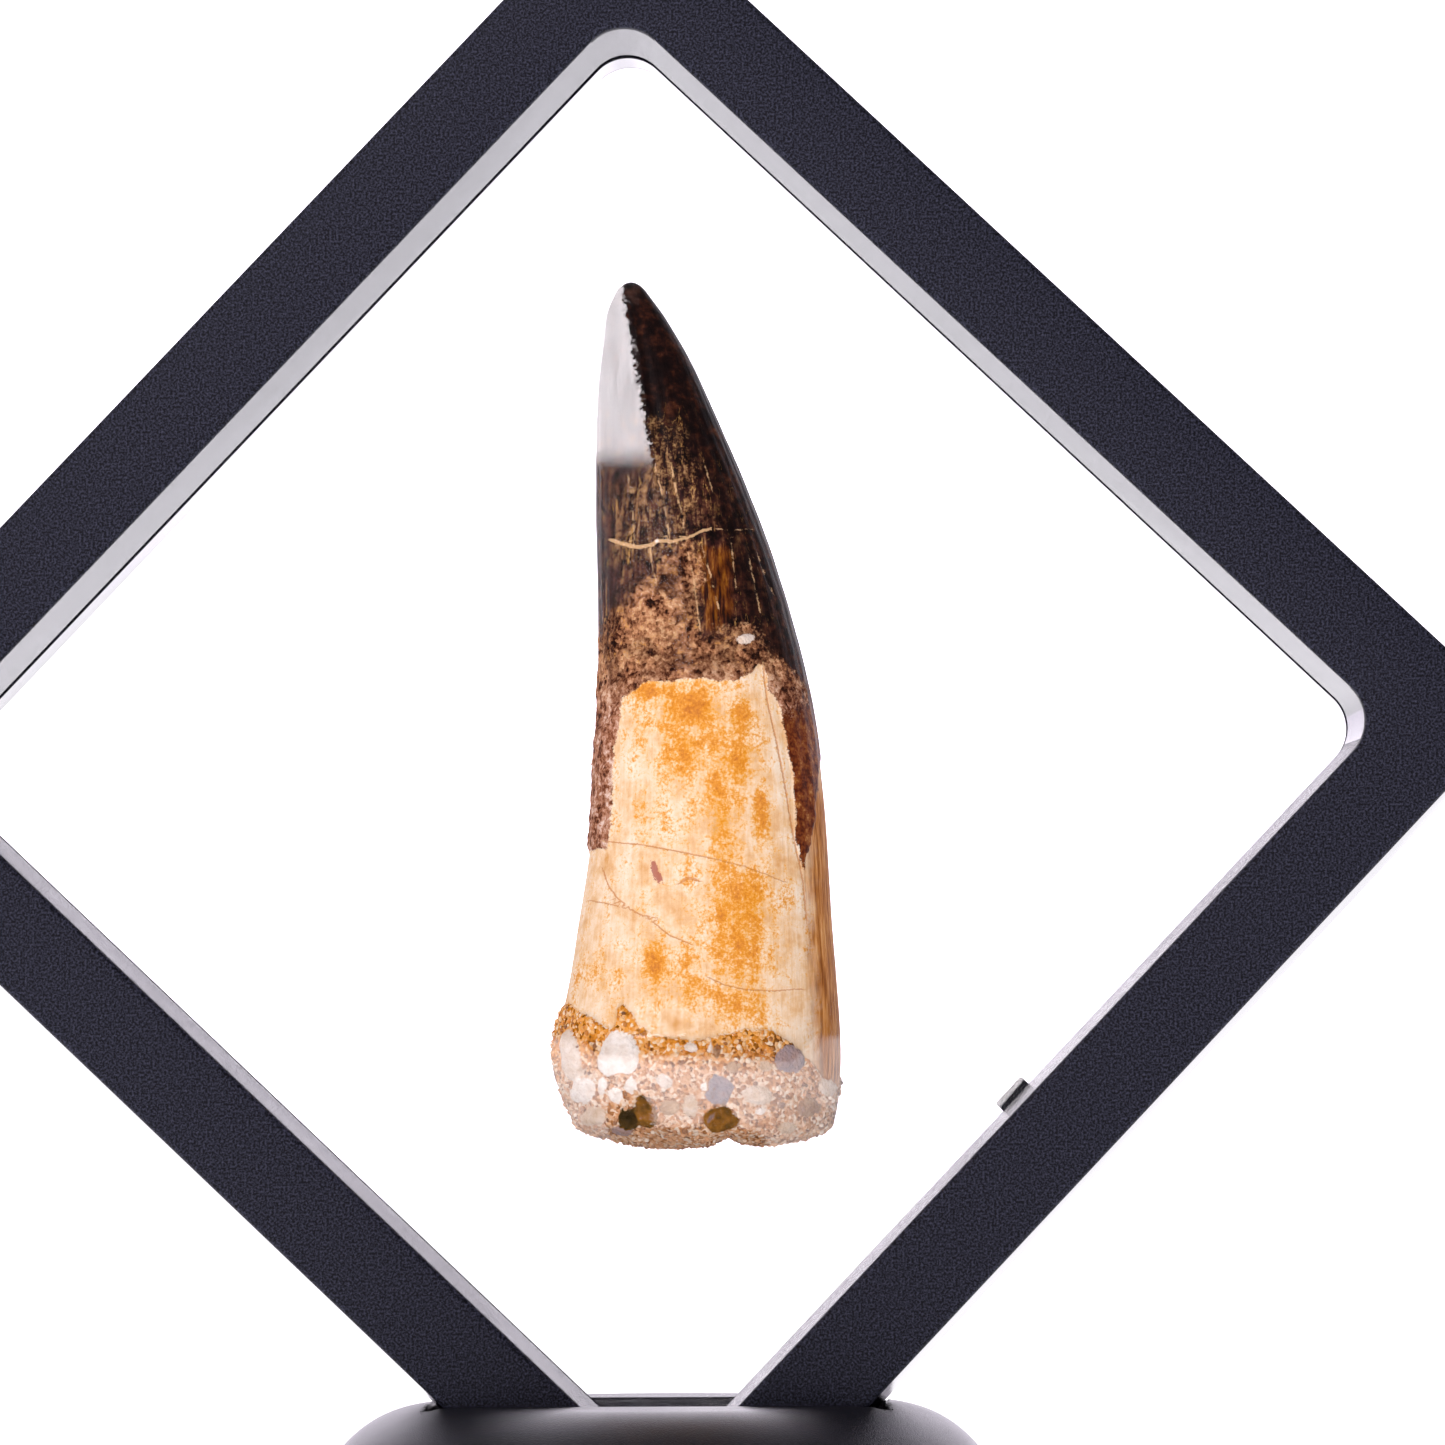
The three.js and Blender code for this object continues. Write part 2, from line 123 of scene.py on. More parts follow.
# Cracks and lines on the front: half width in millimetres, then points as above
FRONT_LINES = [
    (0.17, [(-2.8, 53.7), (-1.9, 53.3), (-0.6, 52.9), (0.6, 53.0), (1.3, 53.4), (2.6, 53.3)]),
    (0.12, [(2.6, 53.3), (4.2, 53.7), (5.1, 54.2), (6.1, 54.5)]),
    (0.05, [(6.1, 54.5), (7.7, 54.4), (9.3, 54.6)]),
    (0.07, [(-1.3, 59.2), (-1.0, 57.2), (-0.9, 55.4), (-0.8, 53.7)]),
    (0.08, [(1.1, 60.0), (1.6, 58.0), (2.0, 56.0), (2.3, 53.9)]),
    (0.08, [(2.6, 59.8), (3.0, 57.5), (3.6, 55.2), (3.6, 53.9)]),
    (0.06, [(5.4, 60.5), (6.1, 58.1)]),
    (0.06, [(7.8, 53.3), (8.0, 51.2), (8.2, 49.2)]),
    (0.06, [(9.4, 51.8), (9.9, 49.4), (10.3, 47.1)]),
    (0.07, [(10.2, 52.2), (10.8, 50.4), (11.4, 49.1)]),
    (0.08, [(5.3, 52.6), (6.0, 50.2), (6.7, 47.3)]),
    (0.07, [(0.6, 53.0), (0.8, 51.2), (1.2, 49.6)]),
    (0.07, [(4.0, 52.3), (4.5, 49.8), (4.9, 46.6), (5.1, 45.0)]),
    (0.06, [(-3.5, 26.9), (-0.3, 26.5), (3.2, 25.8), (6.0, 25.2)]),
    (0.035, [(6.0, 25.2), (8.9, 24.5), (12.4, 23.2)]),
    (0.07, [(-3.8, 24.4), (-3.3, 23.0), (-2.5, 21.9), (-1.0, 20.7), (0.6, 19.8), (2.2, 18.5), (4.1, 17.7)]),
    (0.05, [(-5.0, 21.8), (-2.5, 21.2), (-1.0, 20.7)]),
    (0.045, [(-0.4, 20.4), (1.0, 20.0)]),
    (0.05, [(5.8, 14.7), (7.1, 14.1), (8.9, 13.7), (11.5, 13.6), (13.9, 13.8)]),
    (0.12, [(3.2, 23.1), (3.9, 23.5), (4.7, 23.3)]),
    (0.07, [(10.6, 42.6), (11.0, 39.2), (11.8, 35.7), (12.6, 31.3), (13.3, 26.9), (14.1, 23.4), (14.4, 19.9)]),
]
REAR_LINES = [
    (0.12, [(-3.0, 51.0), (-0.5, 51.6), (2.0, 51.2), (5.5, 52.0), (9.0, 51.7)]),
    (0.07, [(1.0, 62.0), (1.6, 58.0), (2.2, 54.0), (2.6, 51.4)]),
    (0.07, [(4.2, 59.0), (5.0, 55.0), (5.6, 52.2)]),
    (0.06, [(-1.6, 57.5), (-1.4, 54.0), (-1.2, 51.6)]),
    (0.06, [(7.5, 50.5), (8.4, 47.0), (8.8, 45.2)]),
    (0.06, [(-4.0, 30.5), (0.5, 29.3), (5.0, 29.8), (9.5, 28.6)]),
    (0.06, [(14.5, 18.5), (10.0, 17.2), (6.5, 18.0), (2.0, 16.4)]),
    (0.05, [(3.0, 37.5), (2.6, 34.0), (3.1, 31.5)]),
]
# Orange stains of the root: x, height, half width, half height, strength
FRONT_STAINS = [
    (4.2, 38.3, 2.4, 1.9, 1.0), (1.1, 40.1, 1.9, 0.8, 0.9), (3.3, 33.0, 1.1, 2.0, 0.7),
    (8.5, 37.6, 1.5, 1.9, 0.6), (8.4, 33.6, 1.6, 2.4, 0.8), (6.4, 31.0, 1.3, 3.2, 0.6),
    (10.2, 28.6, 0.9, 3.0, 0.7), (9.3, 21.5, 1.7, 3.3, 1.0), (8.4, 18.0, 1.4, 1.6, 0.8),
    (1.0, 16.3, 1.1, 2.2, 0.9), (4.1, 13.7, 2.2, 1.6, 0.6), (11.0, 16.3, 1.2, 1.5, 0.5),
    (-4.5, 15.5, 1.3, 1.8, 0.5), (6.6, 25.0, 1.4, 2.0, 0.5), (8.2, 12.6, 2.6, 1.6, 0.5),
    (0.2, 36.0, 0.7, 2.4, 0.35), (-0.4, 29.6, 0.9, 1.4, 0.45), (6.6, 28.0, 3.0, 13.0, 0.5),
    (4.4, 38.0, 5.0, 2.6, 0.5), (8.6, 20.0, 2.6, 6.0, 0.75), (2.0, 15.0, 4.0, 2.6, 0.45), (3.6, 34.5, 1.8, 2.6, 0.85),
]
# Pebbles in the stone: x, height, half width, half height, tilt in degrees, rise, tone.
# Tone 0 is lavender grey, 0.35 tan, 0.7 cream and 1 white.
FRONT_PEBBLES_AND_HOLLOW_SHADE = [
    (-2.0, 8.2, 1.7, 1.9, 15, 0.30, 1.0), (-3.3, 7.3, 0.8, 1.2, 20, 0.22, 1.0),
    (-6.6, 8.2, 0.9, 2.3, 8, 0.25, 0.8), (-5.5, 5.0, 1.2, 1.1, 20, 0.2, 0.95),
    (-3.7, 5.4, 0.4, 0.8, 0, 0.15, 1.0), (-2.5, 4.6, 0.6, 0.75, 30, 0.15, 1.0),
    (-1.1, 5.4, 0.55, 0.75, 0, 0.15, 0.95), (1.8, 5.7, 0.8, 0.55, -25, 0.2, 0.9),
    (4.1, 8.7, 0.6, 0.42, -10, 0.2, 0.95), (5.8, 8.6, 0.26, 0.38, 0, 0.15, 1.0),
    (6.4, 8.3, 0.3, 0.6, 0, 0.2, 0.36), (5.4, 5.2, 0.5, 0.42, -30, 0.2, 1.0),
    (9.9, 4.5, 1.45, 0.85, -8, 0.3, 0.75), (4.0, 3.6, 0.7, 1.0, 0, 0.2, 0.7),
    (6.5, 4.9, 1.3, 1.2, 20, 0.2, 0.0), (12.7, 7.6, 1.3, 1.2, 0, 0.2, 0.1),
    (10.2, 3.1, 0.45, 0.33, 0, 0.15, 0.95), (12.0, 3.6, 0.36, 0.3, 0, 0.15, 0.3),
    (16.0, 5.2, 0.8, 0.8, 0, 0.2, 0.75), (-4.6, 2.6, 1.3, 0.9, 20, 0.2, 0.65),
    (-2.1, 1.0, 0.9, 0.6, 0, 0.2, 0.15), (2.2, 3.4, 0.9, 0.7, 0, 0.15, 0.5),
    (14.3, 3.4, 1.0, 0.8, 30, 0.2, 0.35), (12.4, 1.6, 0.8, 0.6, 0, 0.15, 0.6),
    # These three have no rise and lie over the hollows below: a golden-brown tone, and the darkest, over the deepest
    # hollow, is painted shade
    (-1.5, 2.3, 0.85, 1.1, 10, 0, -0.5), (0.1, 2.9, 1.1, 1.6, 15, 0, -0.24), (6.7, 2.2, 1.5, 1.25, 0, 0, -0.22),
    (7.9, 6.9, 0.7, 0.55, 0, 0.15, 0.45), (10.6, 7.0, 0.6, 0.5, 0, 0.15, 0.6),
]
# Hollows in the stone and pits in the crust: x, height, radius and depth
FRONT_HOLLOWS = [
    (-1.4, 2.3, 0.75, 0.8), (-0.4, 3.4, 1.0, 0.4), (6.7, 2.5, 1.0, 0.5), (10.5, 8.4, 0.35, 0.4),
    (9.0, 8.4, 0.4, 0.35), (-5.5, 6.7, 0.4, 0.4), (7.4, 43.3, 0.4, 0.45), (8.2, 43.1, 0.3, 0.4),
    (2.6, 46.2, 0.5, 0.3), (-0.6, 43.6, 0.6, 0.25), (4.7, 48.6, 0.3, 0.3), (4.0, 46.0, 0.4, 0.3),
]
CREAM_BEADS = [(9.0, 44.6, 0.85, 0.42, 12, 0.3, 0.85), (1.25, 53.4, 0.2, 0.16, 0, 0.1, 1.0)]
RED_SPOT = [(0.5, 25.2), (0.9, 24.6), (1.2, 23.7), (1.5, 23.3)]

# Film: its grid is fine over the tooth and wider towards the case
FILM_THICKNESS = 0.12
FILM_PLANE = 0.2
FILM_STEPS = 136
FILM_FINE_STEPS = 92
FILM_COARSE = 4
FILM_RIM = 47.8
FILM_ROUNDS = 900
RIDGE_RISE = 0.34
RIDGE_WIDTH = 0.45
RIDGE_BOTTOM = 58.0
RIDGE_PLACE = -0.13


class CaseSettings(bpy.types.PropertyGroup):
    """Sizes and colours of the square case."""

    side: FloatProperty(name="Side", description="Outer side of the square", default=0.110, unit="LENGTH")
    depth: FloatProperty(name="Depth", description="Front to back", default=0.020, unit="LENGTH")
    corner: FloatProperty(name="Corner", description="Radius of the outer corners", default=0.005, unit="LENGTH")
    edge: FloatProperty(name="Edge", description="Radius of the moulded edges", default=0.0006, unit="LENGTH")
    colour: FloatVectorProperty(
        name="Colour", description="Colour of the plastic", subtype="COLOR", size=3, default=(0.0031, 0.0032, 0.0051)
    )


class StandSettings(bpy.types.PropertyGroup):
    """Sizes of the round base."""

    radius: FloatProperty(name="Radius", description="Outer radius", default=0.0305, unit="LENGTH")
    height: FloatProperty(name="Height", description="Floor to lip", default=0.021, unit="LENGTH")
    shoulder: FloatProperty(name="Shoulder", description="Radius of the shoulder", default=0.0106, unit="LENGTH")
    slot_length: FloatProperty(name="Slot length", description="Along the case", default=0.040, unit="LENGTH")
    slot_width: FloatProperty(name="Slot width", description="Front to back", default=0.0206, unit="LENGTH")
    slot_floor: FloatProperty(name="Slot floor", description="Height of the floor", default=0.0029, unit="LENGTH")
    colour: FloatVectorProperty(
        name="Colour", description="Colour of the plastic", subtype="COLOR", size=3, default=(0.0016, 0.0015, 0.0026)
    )


class ToothSettings(bpy.types.PropertyGroup):
    """Sizes of the sand on the tooth's stone."""

    grain: FloatProperty(name="Grain", description="Mean sand grain", default=0.00042, unit="LENGTH")
    density: FloatProperty(name="Density", description="Grains on a square metre", default=2400000.0)
    seed: IntProperty(name="Seed", description="Number that the scatter starts from", default=7)


class FilmSettings(bpy.types.PropertyGroup):
    """Finish of the stretched films."""

    mirror: FloatProperty(name="Mirror", description="Share mirrored face on", default=0.05, min=0, max=1)
    roughness: FloatProperty(name="Roughness", description="Blur of the mirror image", default=0.06, min=0, max=1)


class StageSettings(bpy.types.PropertyGroup):
    """Lights and background."""

    key: FloatProperty(name="Key", description="Radiance of the left soft light", default=7.6)
    low: FloatProperty(name="Low", description="Radiance of the light on the table in front", default=0.6)
    top: FloatProperty(name="Top", description="Radiance of the top light", default=2.0)
    backdrop: FloatProperty(name="Backdrop", description="Radiance of the wall behind", default=2.3)
    glow: FloatProperty(name="Glow", description="Light that comes up through the table", default=0.9)


def linear(hexed):
    """sRGB hex to linear red, green, blue and alpha."""
    parts = [int(hexed[n:n + 2], 16) / 255 for n in (1, 3, 5)]
    return [p / 12.92 if p <= 0.04045 else ((p + 0.055) / 1.055) ** 2.4 for p in parts] + [1.0]


def add(tree, kind, inputs=None, ramp=None, **settings):
    """Adds a node with its settings, links and values. A link is given as the socket it comes from."""
    made = tree.nodes.new(kind)
    for name, value in settings.items():
        setattr(made, name, value)
    for key, value in (inputs or {}).items():
        if isinstance(value, bpy.types.NodeSocket):
            tree.links.new(value, made.inputs[key])
        else:
            made.inputs[key].default_value = value
    if ramp:
        stops = made.color_ramp.elements
        while len(stops) < len(ramp):
            stops.new(0.5)
        for stop, (place, colour) in zip(stops, ramp):
            stop.position = place
            stop.color = linear(colour) if isinstance(colour, str) else [colour] * 3 + [1.0]
    return made


def calc(tree, operation, *values):
    """One arithmetic node's result."""
    return add(tree, "ShaderNodeMath", dict(enumerate(values)), operation=operation).outputs[0]


def tones(tree, value, *stops):
    """Colours by a value of any range, each stop a place and a hex colour or a grey."""
    low, high = stops[0][0], stops[-1][0]
    share = span(tree, value, low, high, curve="LINEAR")
    stops = [((place - low) / (high - low), colour) for place, colour in stops]
    return add(tree, "ShaderNodeValToRGB", {"Fac": share}, ramp=stops).outputs[0]


def blend(tree, share, low, high):
    """From one colour to the other by a share."""
    return add(tree, "ShaderNodeMix", {0: share, 6: low, 7: high}, data_type="RGBA").outputs[2]


def span(tree, value, low, high, start=0.0, end=1.0, curve="SMOOTHSTEP"):
    """A value's way from low to high, as start to end."""
    return add(tree, "ShaderNodeMapRange", {
        "Value": value, "From Min": low, "From Max": high, "To Min": start, "To Max": end,
    }, interpolation_type=curve).outputs[0]


def noise(tree, place, scale, detail, rough=0.5):
    """Noise by place. Scale is waves a metre, one for all ways or one a way."""
    if isinstance(scale, tuple):
        place = add(tree, "ShaderNodeMapping", {"Vector": place, "Scale": scale}).outputs[0]
        scale = 1.0
    return add(tree, "ShaderNodeTexNoise", {
        "Vector": place, "Scale": scale, "Detail": detail, "Roughness": rough,
    }).outputs["Fac"]


def new_material(name):
    """An empty node material and its output node."""
    made = bpy.data.materials.new(name)
    made.use_nodes = True
    made.node_tree.nodes.clear()
    return made, made.node_tree, add(made.node_tree, "ShaderNodeOutputMaterial")


def new_piece(name, points, faces, material, replaced=None, smooth=40):
    """A mesh object from points in millimetres, riding on the case's one body."""
    mesh = bpy.data.meshes.new(name)
    mesh.from_pydata((np.asarray(points) * MM).tolist(), [], faces)
    return place_piece(name, mesh, material, replaced, smooth)


def place_piece(name, mesh, material, replaced=None, smooth=40):
    """Links a finished mesh as a piece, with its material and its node."""
    mesh.name = name
    mesh.materials.clear()
    mesh.materials.append(material)
    mesh.shade_smooth()
    mesh.set_sharp_from_angle(angle=math.radians(smooth))
    mesh.validate()
    made = bpy.data.objects.new(name, mesh)
    bpy.context.scene.collection.objects.link(made)
    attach(made, "root")
    if replaced:
        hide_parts(replaced)
    return made


def store(mesh, name, values):
    """Keeps one number a vertex, for a material to read."""
    layer = mesh.attributes.new(name, "FLOAT", "POINT")
    layer.data.foreach_set("value", np.asarray(values, np.float32))


def smooth_step(low, high, values):
    """0 below low, 1 above high and an easy curve between."""
    share = np.clip((values - low) / (high - low), 0, 1)
    return share * share * (3 - 2 * share)


def hashed(whole, seed):
    """A number from 0 to 1 for each whole-number place."""
    mixed = whole @ np.array([73856093, 19349663, 83492791], np.int64) + seed * 2654435761
    mixed = (mixed ^ (mixed >> 13)) * 1274126177 & 0x7FFFFFFFFFFF
    mixed = (mixed ^ (mixed >> 17)) * 668265263 & 0x7FFFFFFFFFFF
    return ((mixed >> 15) & 0xFFFF) / 65535.0


def lattice(points, seed):
    """Smooth noise from -1 to 1, one wave a unit."""
    base = np.floor(points).astype(np.int64)
    part = points - base
    soft = part * part * (3 - 2 * part)
    total = np.zeros(len(points))
    for corner in np.ndindex(2, 2, 2):
        weight = np.prod(np.where(np.array(corner) == 1, soft, 1 - soft), axis=1)
        total += weight * (hashed(base + np.array(corner), seed) * 2 - 1)
    return total


def fractal(points, size, octaves, seed):
    """Noise of several sizes, from size millimetres down. Size may differ by axis."""
    total = np.zeros(len(points))
    for octave in range(octaves):
        total += lattice(points / np.asarray(size) * 2 ** octave + 17.3 * octave, seed + octave) / 2 ** octave
    return total


def cells(points, size, seed):
    """Distance to the nearest of one point a cell, in cells, and that point's own random number."""
    scaled = points / size
    base = np.floor(scaled).astype(np.int64)
    best = np.full(len(points), 9.0)
    chosen = np.zeros(len(points))
    for corner in np.ndindex(3, 3, 3):
        cell = base + np.array(corner) - 1
        spot = cell + np.stack([hashed(cell, seed + axis) for axis in (1, 2, 3)], axis=1)
        gap = np.linalg.norm(spot - scaled, axis=1)
        nearer = gap < best
        best = np.where(nearer, gap, best)
        chosen = np.where(nearer, hashed(cell, seed + 4), chosen)
    return best, chosen


def natural_curve(places, values):
    """Cubic curve through the values."""
    count = len(places)
    step = np.diff(places)
    slope = np.diff(values) / step
    system = np.eye(count)
    right = np.zeros(count)
    for n in range(1, count - 1):
        system[n, n - 1:n + 2] = [step[n - 1], 2 * (step[n - 1] + step[n]), step[n]]
        right[n] = 6 * (slope[n] - slope[n - 1])
    bend = np.linalg.solve(system, right)

    def value(wanted):
        wanted = np.clip(wanted, places[0], places[-1])
        n = np.clip(np.searchsorted(places, wanted) - 1, 0, count - 2)
        after = wanted - places[n]
        before = places[n + 1] - wanted
        cubic = (bend[n] * before ** 3 + bend[n + 1] * after ** 3) / (6 * step[n])
        linear_part = (values[n] / step[n] - bend[n] * step[n] / 6) * before
        return cubic + linear_part + (values[n + 1] / step[n] - bend[n + 1] * step[n] / 6) * after

    return value


tooth_middle, tooth_half_width, tooth_half_depth = (
    natural_curve(TOOTH_ROWS[:, 0], TOOTH_ROWS[:, column]) for column in (1, 2, 3)
)


def segment_distance(x, y, start, end):
    """Distance from each place to a straight piece, signed by the side it lies on."""
    along = np.subtract(end, start)
    share = np.clip(((x - start[0]) * along[0] + (y - start[1]) * along[1]) / (along @ along), 0, 1)
    dx = x - start[0] - share * along[0]
    dy = y - start[1] - share * along[1]
    side = np.sign(along[0] * (y - start[1]) - along[1] * (x - start[0]))
    return np.hypot(dx, dy), side


def inside(x, y, outline):
    """Distance to an outline, above 0 inside it."""
    nearest = np.full(len(x), 99.0)
    within = np.zeros(len(x), bool)
    for start, end in zip(outline, outline[1:] + outline[:1]):
        nearest = np.minimum(nearest, segment_distance(x, y, start, end)[0])
        if start[1] != end[1]:
            crosses = (start[1] > y) != (end[1] > y)
            reach = start[0] + (y - start[1]) / (end[1] - start[1]) * (end[0] - start[0])
            within ^= crosses & (x < reach)
    return np.where(within, nearest, -nearest)


def lines(x, y, drawn):
    """Signed distance to the nearest line and that line's half width, 0 away from it."""
    best = np.full(len(x), 9.0)
    signed = np.full(len(x), 9.0)
    width = np.zeros(len(x))
    for half_width, points in drawn:
        for start, end in zip(points, points[1:]):
            gap, side = segment_distance(x, y, start, end)
            nearer = gap < best
            best = np.where(nearer, gap, best)
            signed = np.where(nearer, gap * side, signed)
            width = np.where(nearer, half_width, width)
    return signed, width * (1 - smooth_step(0.3, 0.55, best))


def lumps(x, y, warp, list_of_lumps):
    """Rise of rounded lumps, signed depth inside the nearest one, and its tone."""
    rise = np.zeros(len(x))
    depth = np.full(len(x), -9.0)
    tone = np.zeros(len(x))
    for cx, cy, half_x, half_y, tilt, height, shade in list_of_lumps:
        turn = math.radians(tilt)
        u = ((x - cx) * math.cos(turn) + (y - cy) * math.sin(turn)) / half_x
        v = ((y - cy) * math.cos(turn) - (x - cx) * math.sin(turn)) / half_y
        reach = np.hypot(u, v) * (1 + warp)
        own = (1 - reach) * min(half_x, half_y)
        rise = np.maximum(rise, height * np.sqrt(np.clip(1 - reach ** 2, 0, 1)))
        tone = np.where(own > depth, shade, tone)
        depth = np.maximum(depth, own)
    return rise, depth, tone


def rear_pebbles():
    """Pebbles for the back of the stone, where the photo shows nothing."""
    draw = np.random.default_rng(21)
    made = []
    for _ in range(34):
        size = draw.uniform(0.35, 1.5)
        made.append((
            draw.uniform(-7.5, 16), draw.uniform(0.6, 9.5), size, size * draw.uniform(0.6, 1.1),
            draw.uniform(-60, 60), 0.12 + 0.1 * size, draw.choice([0.0, 0.35, 0.7, 0.95]),
        ))
    return made


def rear_stains():
    """Stains for the back of the root."""
    draw = np.random.default_rng(5)
    return [
        (draw.uniform(-5, 14), draw.uniform(12, 39), draw.uniform(0.8, 2), draw.uniform(1.2, 3.5), draw.uniform(0.4, 1))
        for _ in range(16)
    ]


def tooth_grid():
    """Bare surface of the tooth as rings, from the middle of the underside to the tip, and its normals."""
    under = [(0.0, (n + 0.5) / UNDER_RINGS) for n in range(UNDER_RINGS)]
    share = np.linspace(0, 1, BODY_RINGS)
    body = [(h, 1.0) for h in TOOTH_BODY * (share - 0.035 * np.sin(2 * np.pi * share))]
    tip = [
        (TOOTH_BODY + (TOOTH_TIP - TOOTH_BODY) * math.sin(turn) ** 2, math.cos(turn))
        for turn in np.linspace(0, math.pi / 2, TIP_RINGS + 2)[1:-1]
    ]
    rows = np.array(under + body + tip)
    height = rows[:, :1]
    turn = np.linspace(0, 2 * np.pi, TOOTH_SIDES, endpoint=False)[None, :]
    power = 2 / TOOTH_ROUNDNESS
    across = np.sign(np.cos(turn)) * np.abs(np.cos(turn)) ** power
    deep = np.sign(np.sin(turn)) * np.abs(np.sin(turn)) ** power
    x = tooth_middle(height) + tooth_half_width(height) * rows[:, 1:] * across
    y = tooth_half_depth(height) * rows[:, 1:] * deep
    grid = np.stack([x, y, np.broadcast_to(height, x.shape)], axis=2)
    round_ring = np.roll(grid, -1, axis=1) - np.roll(grid, 1, axis=1)
    normals = np.cross(round_ring, np.gradient(grid, axis=0))
    normals /= np.linalg.norm(normals, axis=2, keepdims=True) + 1e-9
    return grid.reshape(-1, 3), normals.reshape(-1, 3), len(rows)


def both_sides(rear_share, front, rear):
    """Front values turning into rear values over the tooth's edges."""
    return front * (1 - rear_share) + rear * rear_share


def tooth_fields(points):
    """What each place of the tooth is: signed distances into its zones, and its marks."""
    x, depth, height = points.T
    rear = smooth_step(-1.2, 1.2, depth)
    coarse = fractal(points, 1.3, 3, 11)
    fine = fractal(points, 0.45, 2, 31)
    fields = {}
    for name, front_outline, rear_outline, wander in (
        ("crown", CROWN_FRONT, CROWN_REAR, 0.22),
        ("crust", CRUST_FRONT, CRUST_REAR, 0.75),
        ("stone", STONE_FRONT, STONE_REAR, 0.3),
    ):
        plain = both_sides(rear, inside(x, height, front_outline), inside(x, height, rear_outline))
        fields[name] = np.clip(plain + wander * (0.7 * coarse + 0.5 * fine), -4, 4)
    amber = inside(x, height, AMBER_FRONT) + 0.5 * coarse
    fields["amber"] = np.where(depth < 0, amber, -4)
    fields["dusty"] = np.where(depth < 0, inside(x, height, DUSTY_FRONT) + 0.6 * coarse, -4)
    signed, width = lines(x, height, FRONT_LINES)
    rear_signed, rear_width = lines(x, height, REAR_LINES)
    fields["line"] = np.where(depth < 0, signed, rear_signed)
    fields["line_width"] = np.where(depth < 0, width, rear_width)
    warp = 0.16 * fractal(points, 0.9, 2, 51)
    front_lumps = lumps(x, height, warp, FRONT_PEBBLES_AND_HOLLOW_SHADE + CREAM_BEADS)
    rear_lumps = lumps(x, height, warp, rear_pebbles())
    for name, front, back in zip(("pebble_rise", "pebble", "pebble_tone_and_hollow_shade"), front_lumps, rear_lumps):
        fields[name] = np.where(depth < 0, front, back)
    stain = np.zeros(len(x))
    for side, spots in ((-1, FRONT_STAINS), (1, rear_stains())):
        here = depth * side > 0
        for cx, cy, half_x, half_y, strength in spots:
            reach = ((x - cx) / half_x) ** 2 + ((height - cy) / half_y) ** 2
            stain = np.where(here, np.maximum(stain, strength * np.exp(-reach * 0.8)), stain)
    fields["stain"] = stain
    red = np.full(len(x), 9.0)
    for start, end in zip(RED_SPOT, RED_SPOT[1:]):
        red = np.minimum(red, segment_distance(x, height, start, end)[0])
    fields["red"] = np.where(depth < 0, 0.2 - red + 0.3 * fine, -1)
    reach = (x - tooth_middle(height)) / tooth_half_width(height)
    fields["plain"] = smooth_step(0.32, 0.6, reach + 0.08 * coarse)
    fields["band"] = smooth_step(0.76, 0.9, reach + 0.03 * coarse) * smooth_step(36, 30, height)
    return fields


def tooth_relief(points, fields):
    """How far the surface stands out of its bare shape, in millimetres."""
    x, depth, height = points.T
    stone = smooth_step(-0.15, 0.15, fields["stone"])
    crown = smooth_step(-0.12, 0.12, fields["crown"]) * (1 - stone)
    crust = crown * smooth_step(-0.3, 0.3, fields["crust"])
    root = 1 - crown - stone
    reach = (x - tooth_middle(height)) / tooth_half_width(height)
    around = np.arctan2(depth / tooth_half_depth(height), reach)
    flutes = np.sin(around * 34 + 1.5 * fractal(points, (4, 4, 16), 2, 71))
    enamel_relief = 0.022 * flutes * smooth_step(74, 60, height) + 0.03 * fractal(points, 2.2, 2, 73)
    crust_relief = 0.02 + 0.13 * fractal(points, 0.9, 3, 75) - 0.2 * smooth_step(0.45, 0.9, lattice(points / 0.8, 77))
    root_relief = -0.2 + 0.05 * fractal(points, (2.6, 2.6, 12), 2, 79) + 0.015 * fractal(points, (0.5, 0.5, 3), 2, 81)
    gap, _ = cells(points, 0.75, 90)
    grains = 0.5 - gap
    stone_relief = 0.02 + 0.26 * fractal(points, 3.6, 2, 83) + 0.22 * grains + 0.06 * fractal(points, 0.5, 2, 85)
    covered = smooth_step(-0.05, 0.12, fields["pebble"])
    stone_relief = stone_relief * (1 - 0.75 * covered) + fields["pebble_rise"] - 0.1 * (1 - covered) * smooth_step(
        -0.35, -0.05, fields["pebble"])
    total = (crown - crust) * enamel_relief + crust * crust_relief + root * root_relief + stone * stone_relief
    total += (1 - stone) * fields["pebble_rise"]
    for cx, cy, radius, hollow in FRONT_HOLLOWS:
        gap = np.hypot(x - cx, height - cy) / radius * (1 + 0.15 * fractal(points, 0.8, 1, 87))
        total -= np.where(depth < 0, hollow * smooth_step(1.15, 0.45, gap), 0)
    for side, place in ((-1, RIDGE_PLACE), (1, -RIDGE_PLACE)):
        off = np.abs(reach - place) * tooth_half_width(height)
        serrated = 1 + 0.35 * np.sin(height * 9)
        ridge = 0.28 * np.exp(-(off / 0.3) ** 2) * smooth_step(RIDGE_BOTTOM, RIDGE_BOTTOM + 6, height)
        total += np.where(depth * side > 0, ridge * serrated * smooth_step(76.8, 75, height), 0)
    total *= smooth_step(TOOTH_TIP + 0.1, TOOTH_TIP - 1.6, height)
    line = np.clip(1 - np.abs(fields["line"]) / (fields["line_width"] * 2 + 0.02), 0, 1) * (fields["line_width"] > 0)
    total -= (0.01 + 0.04 * crown) * line
    return total


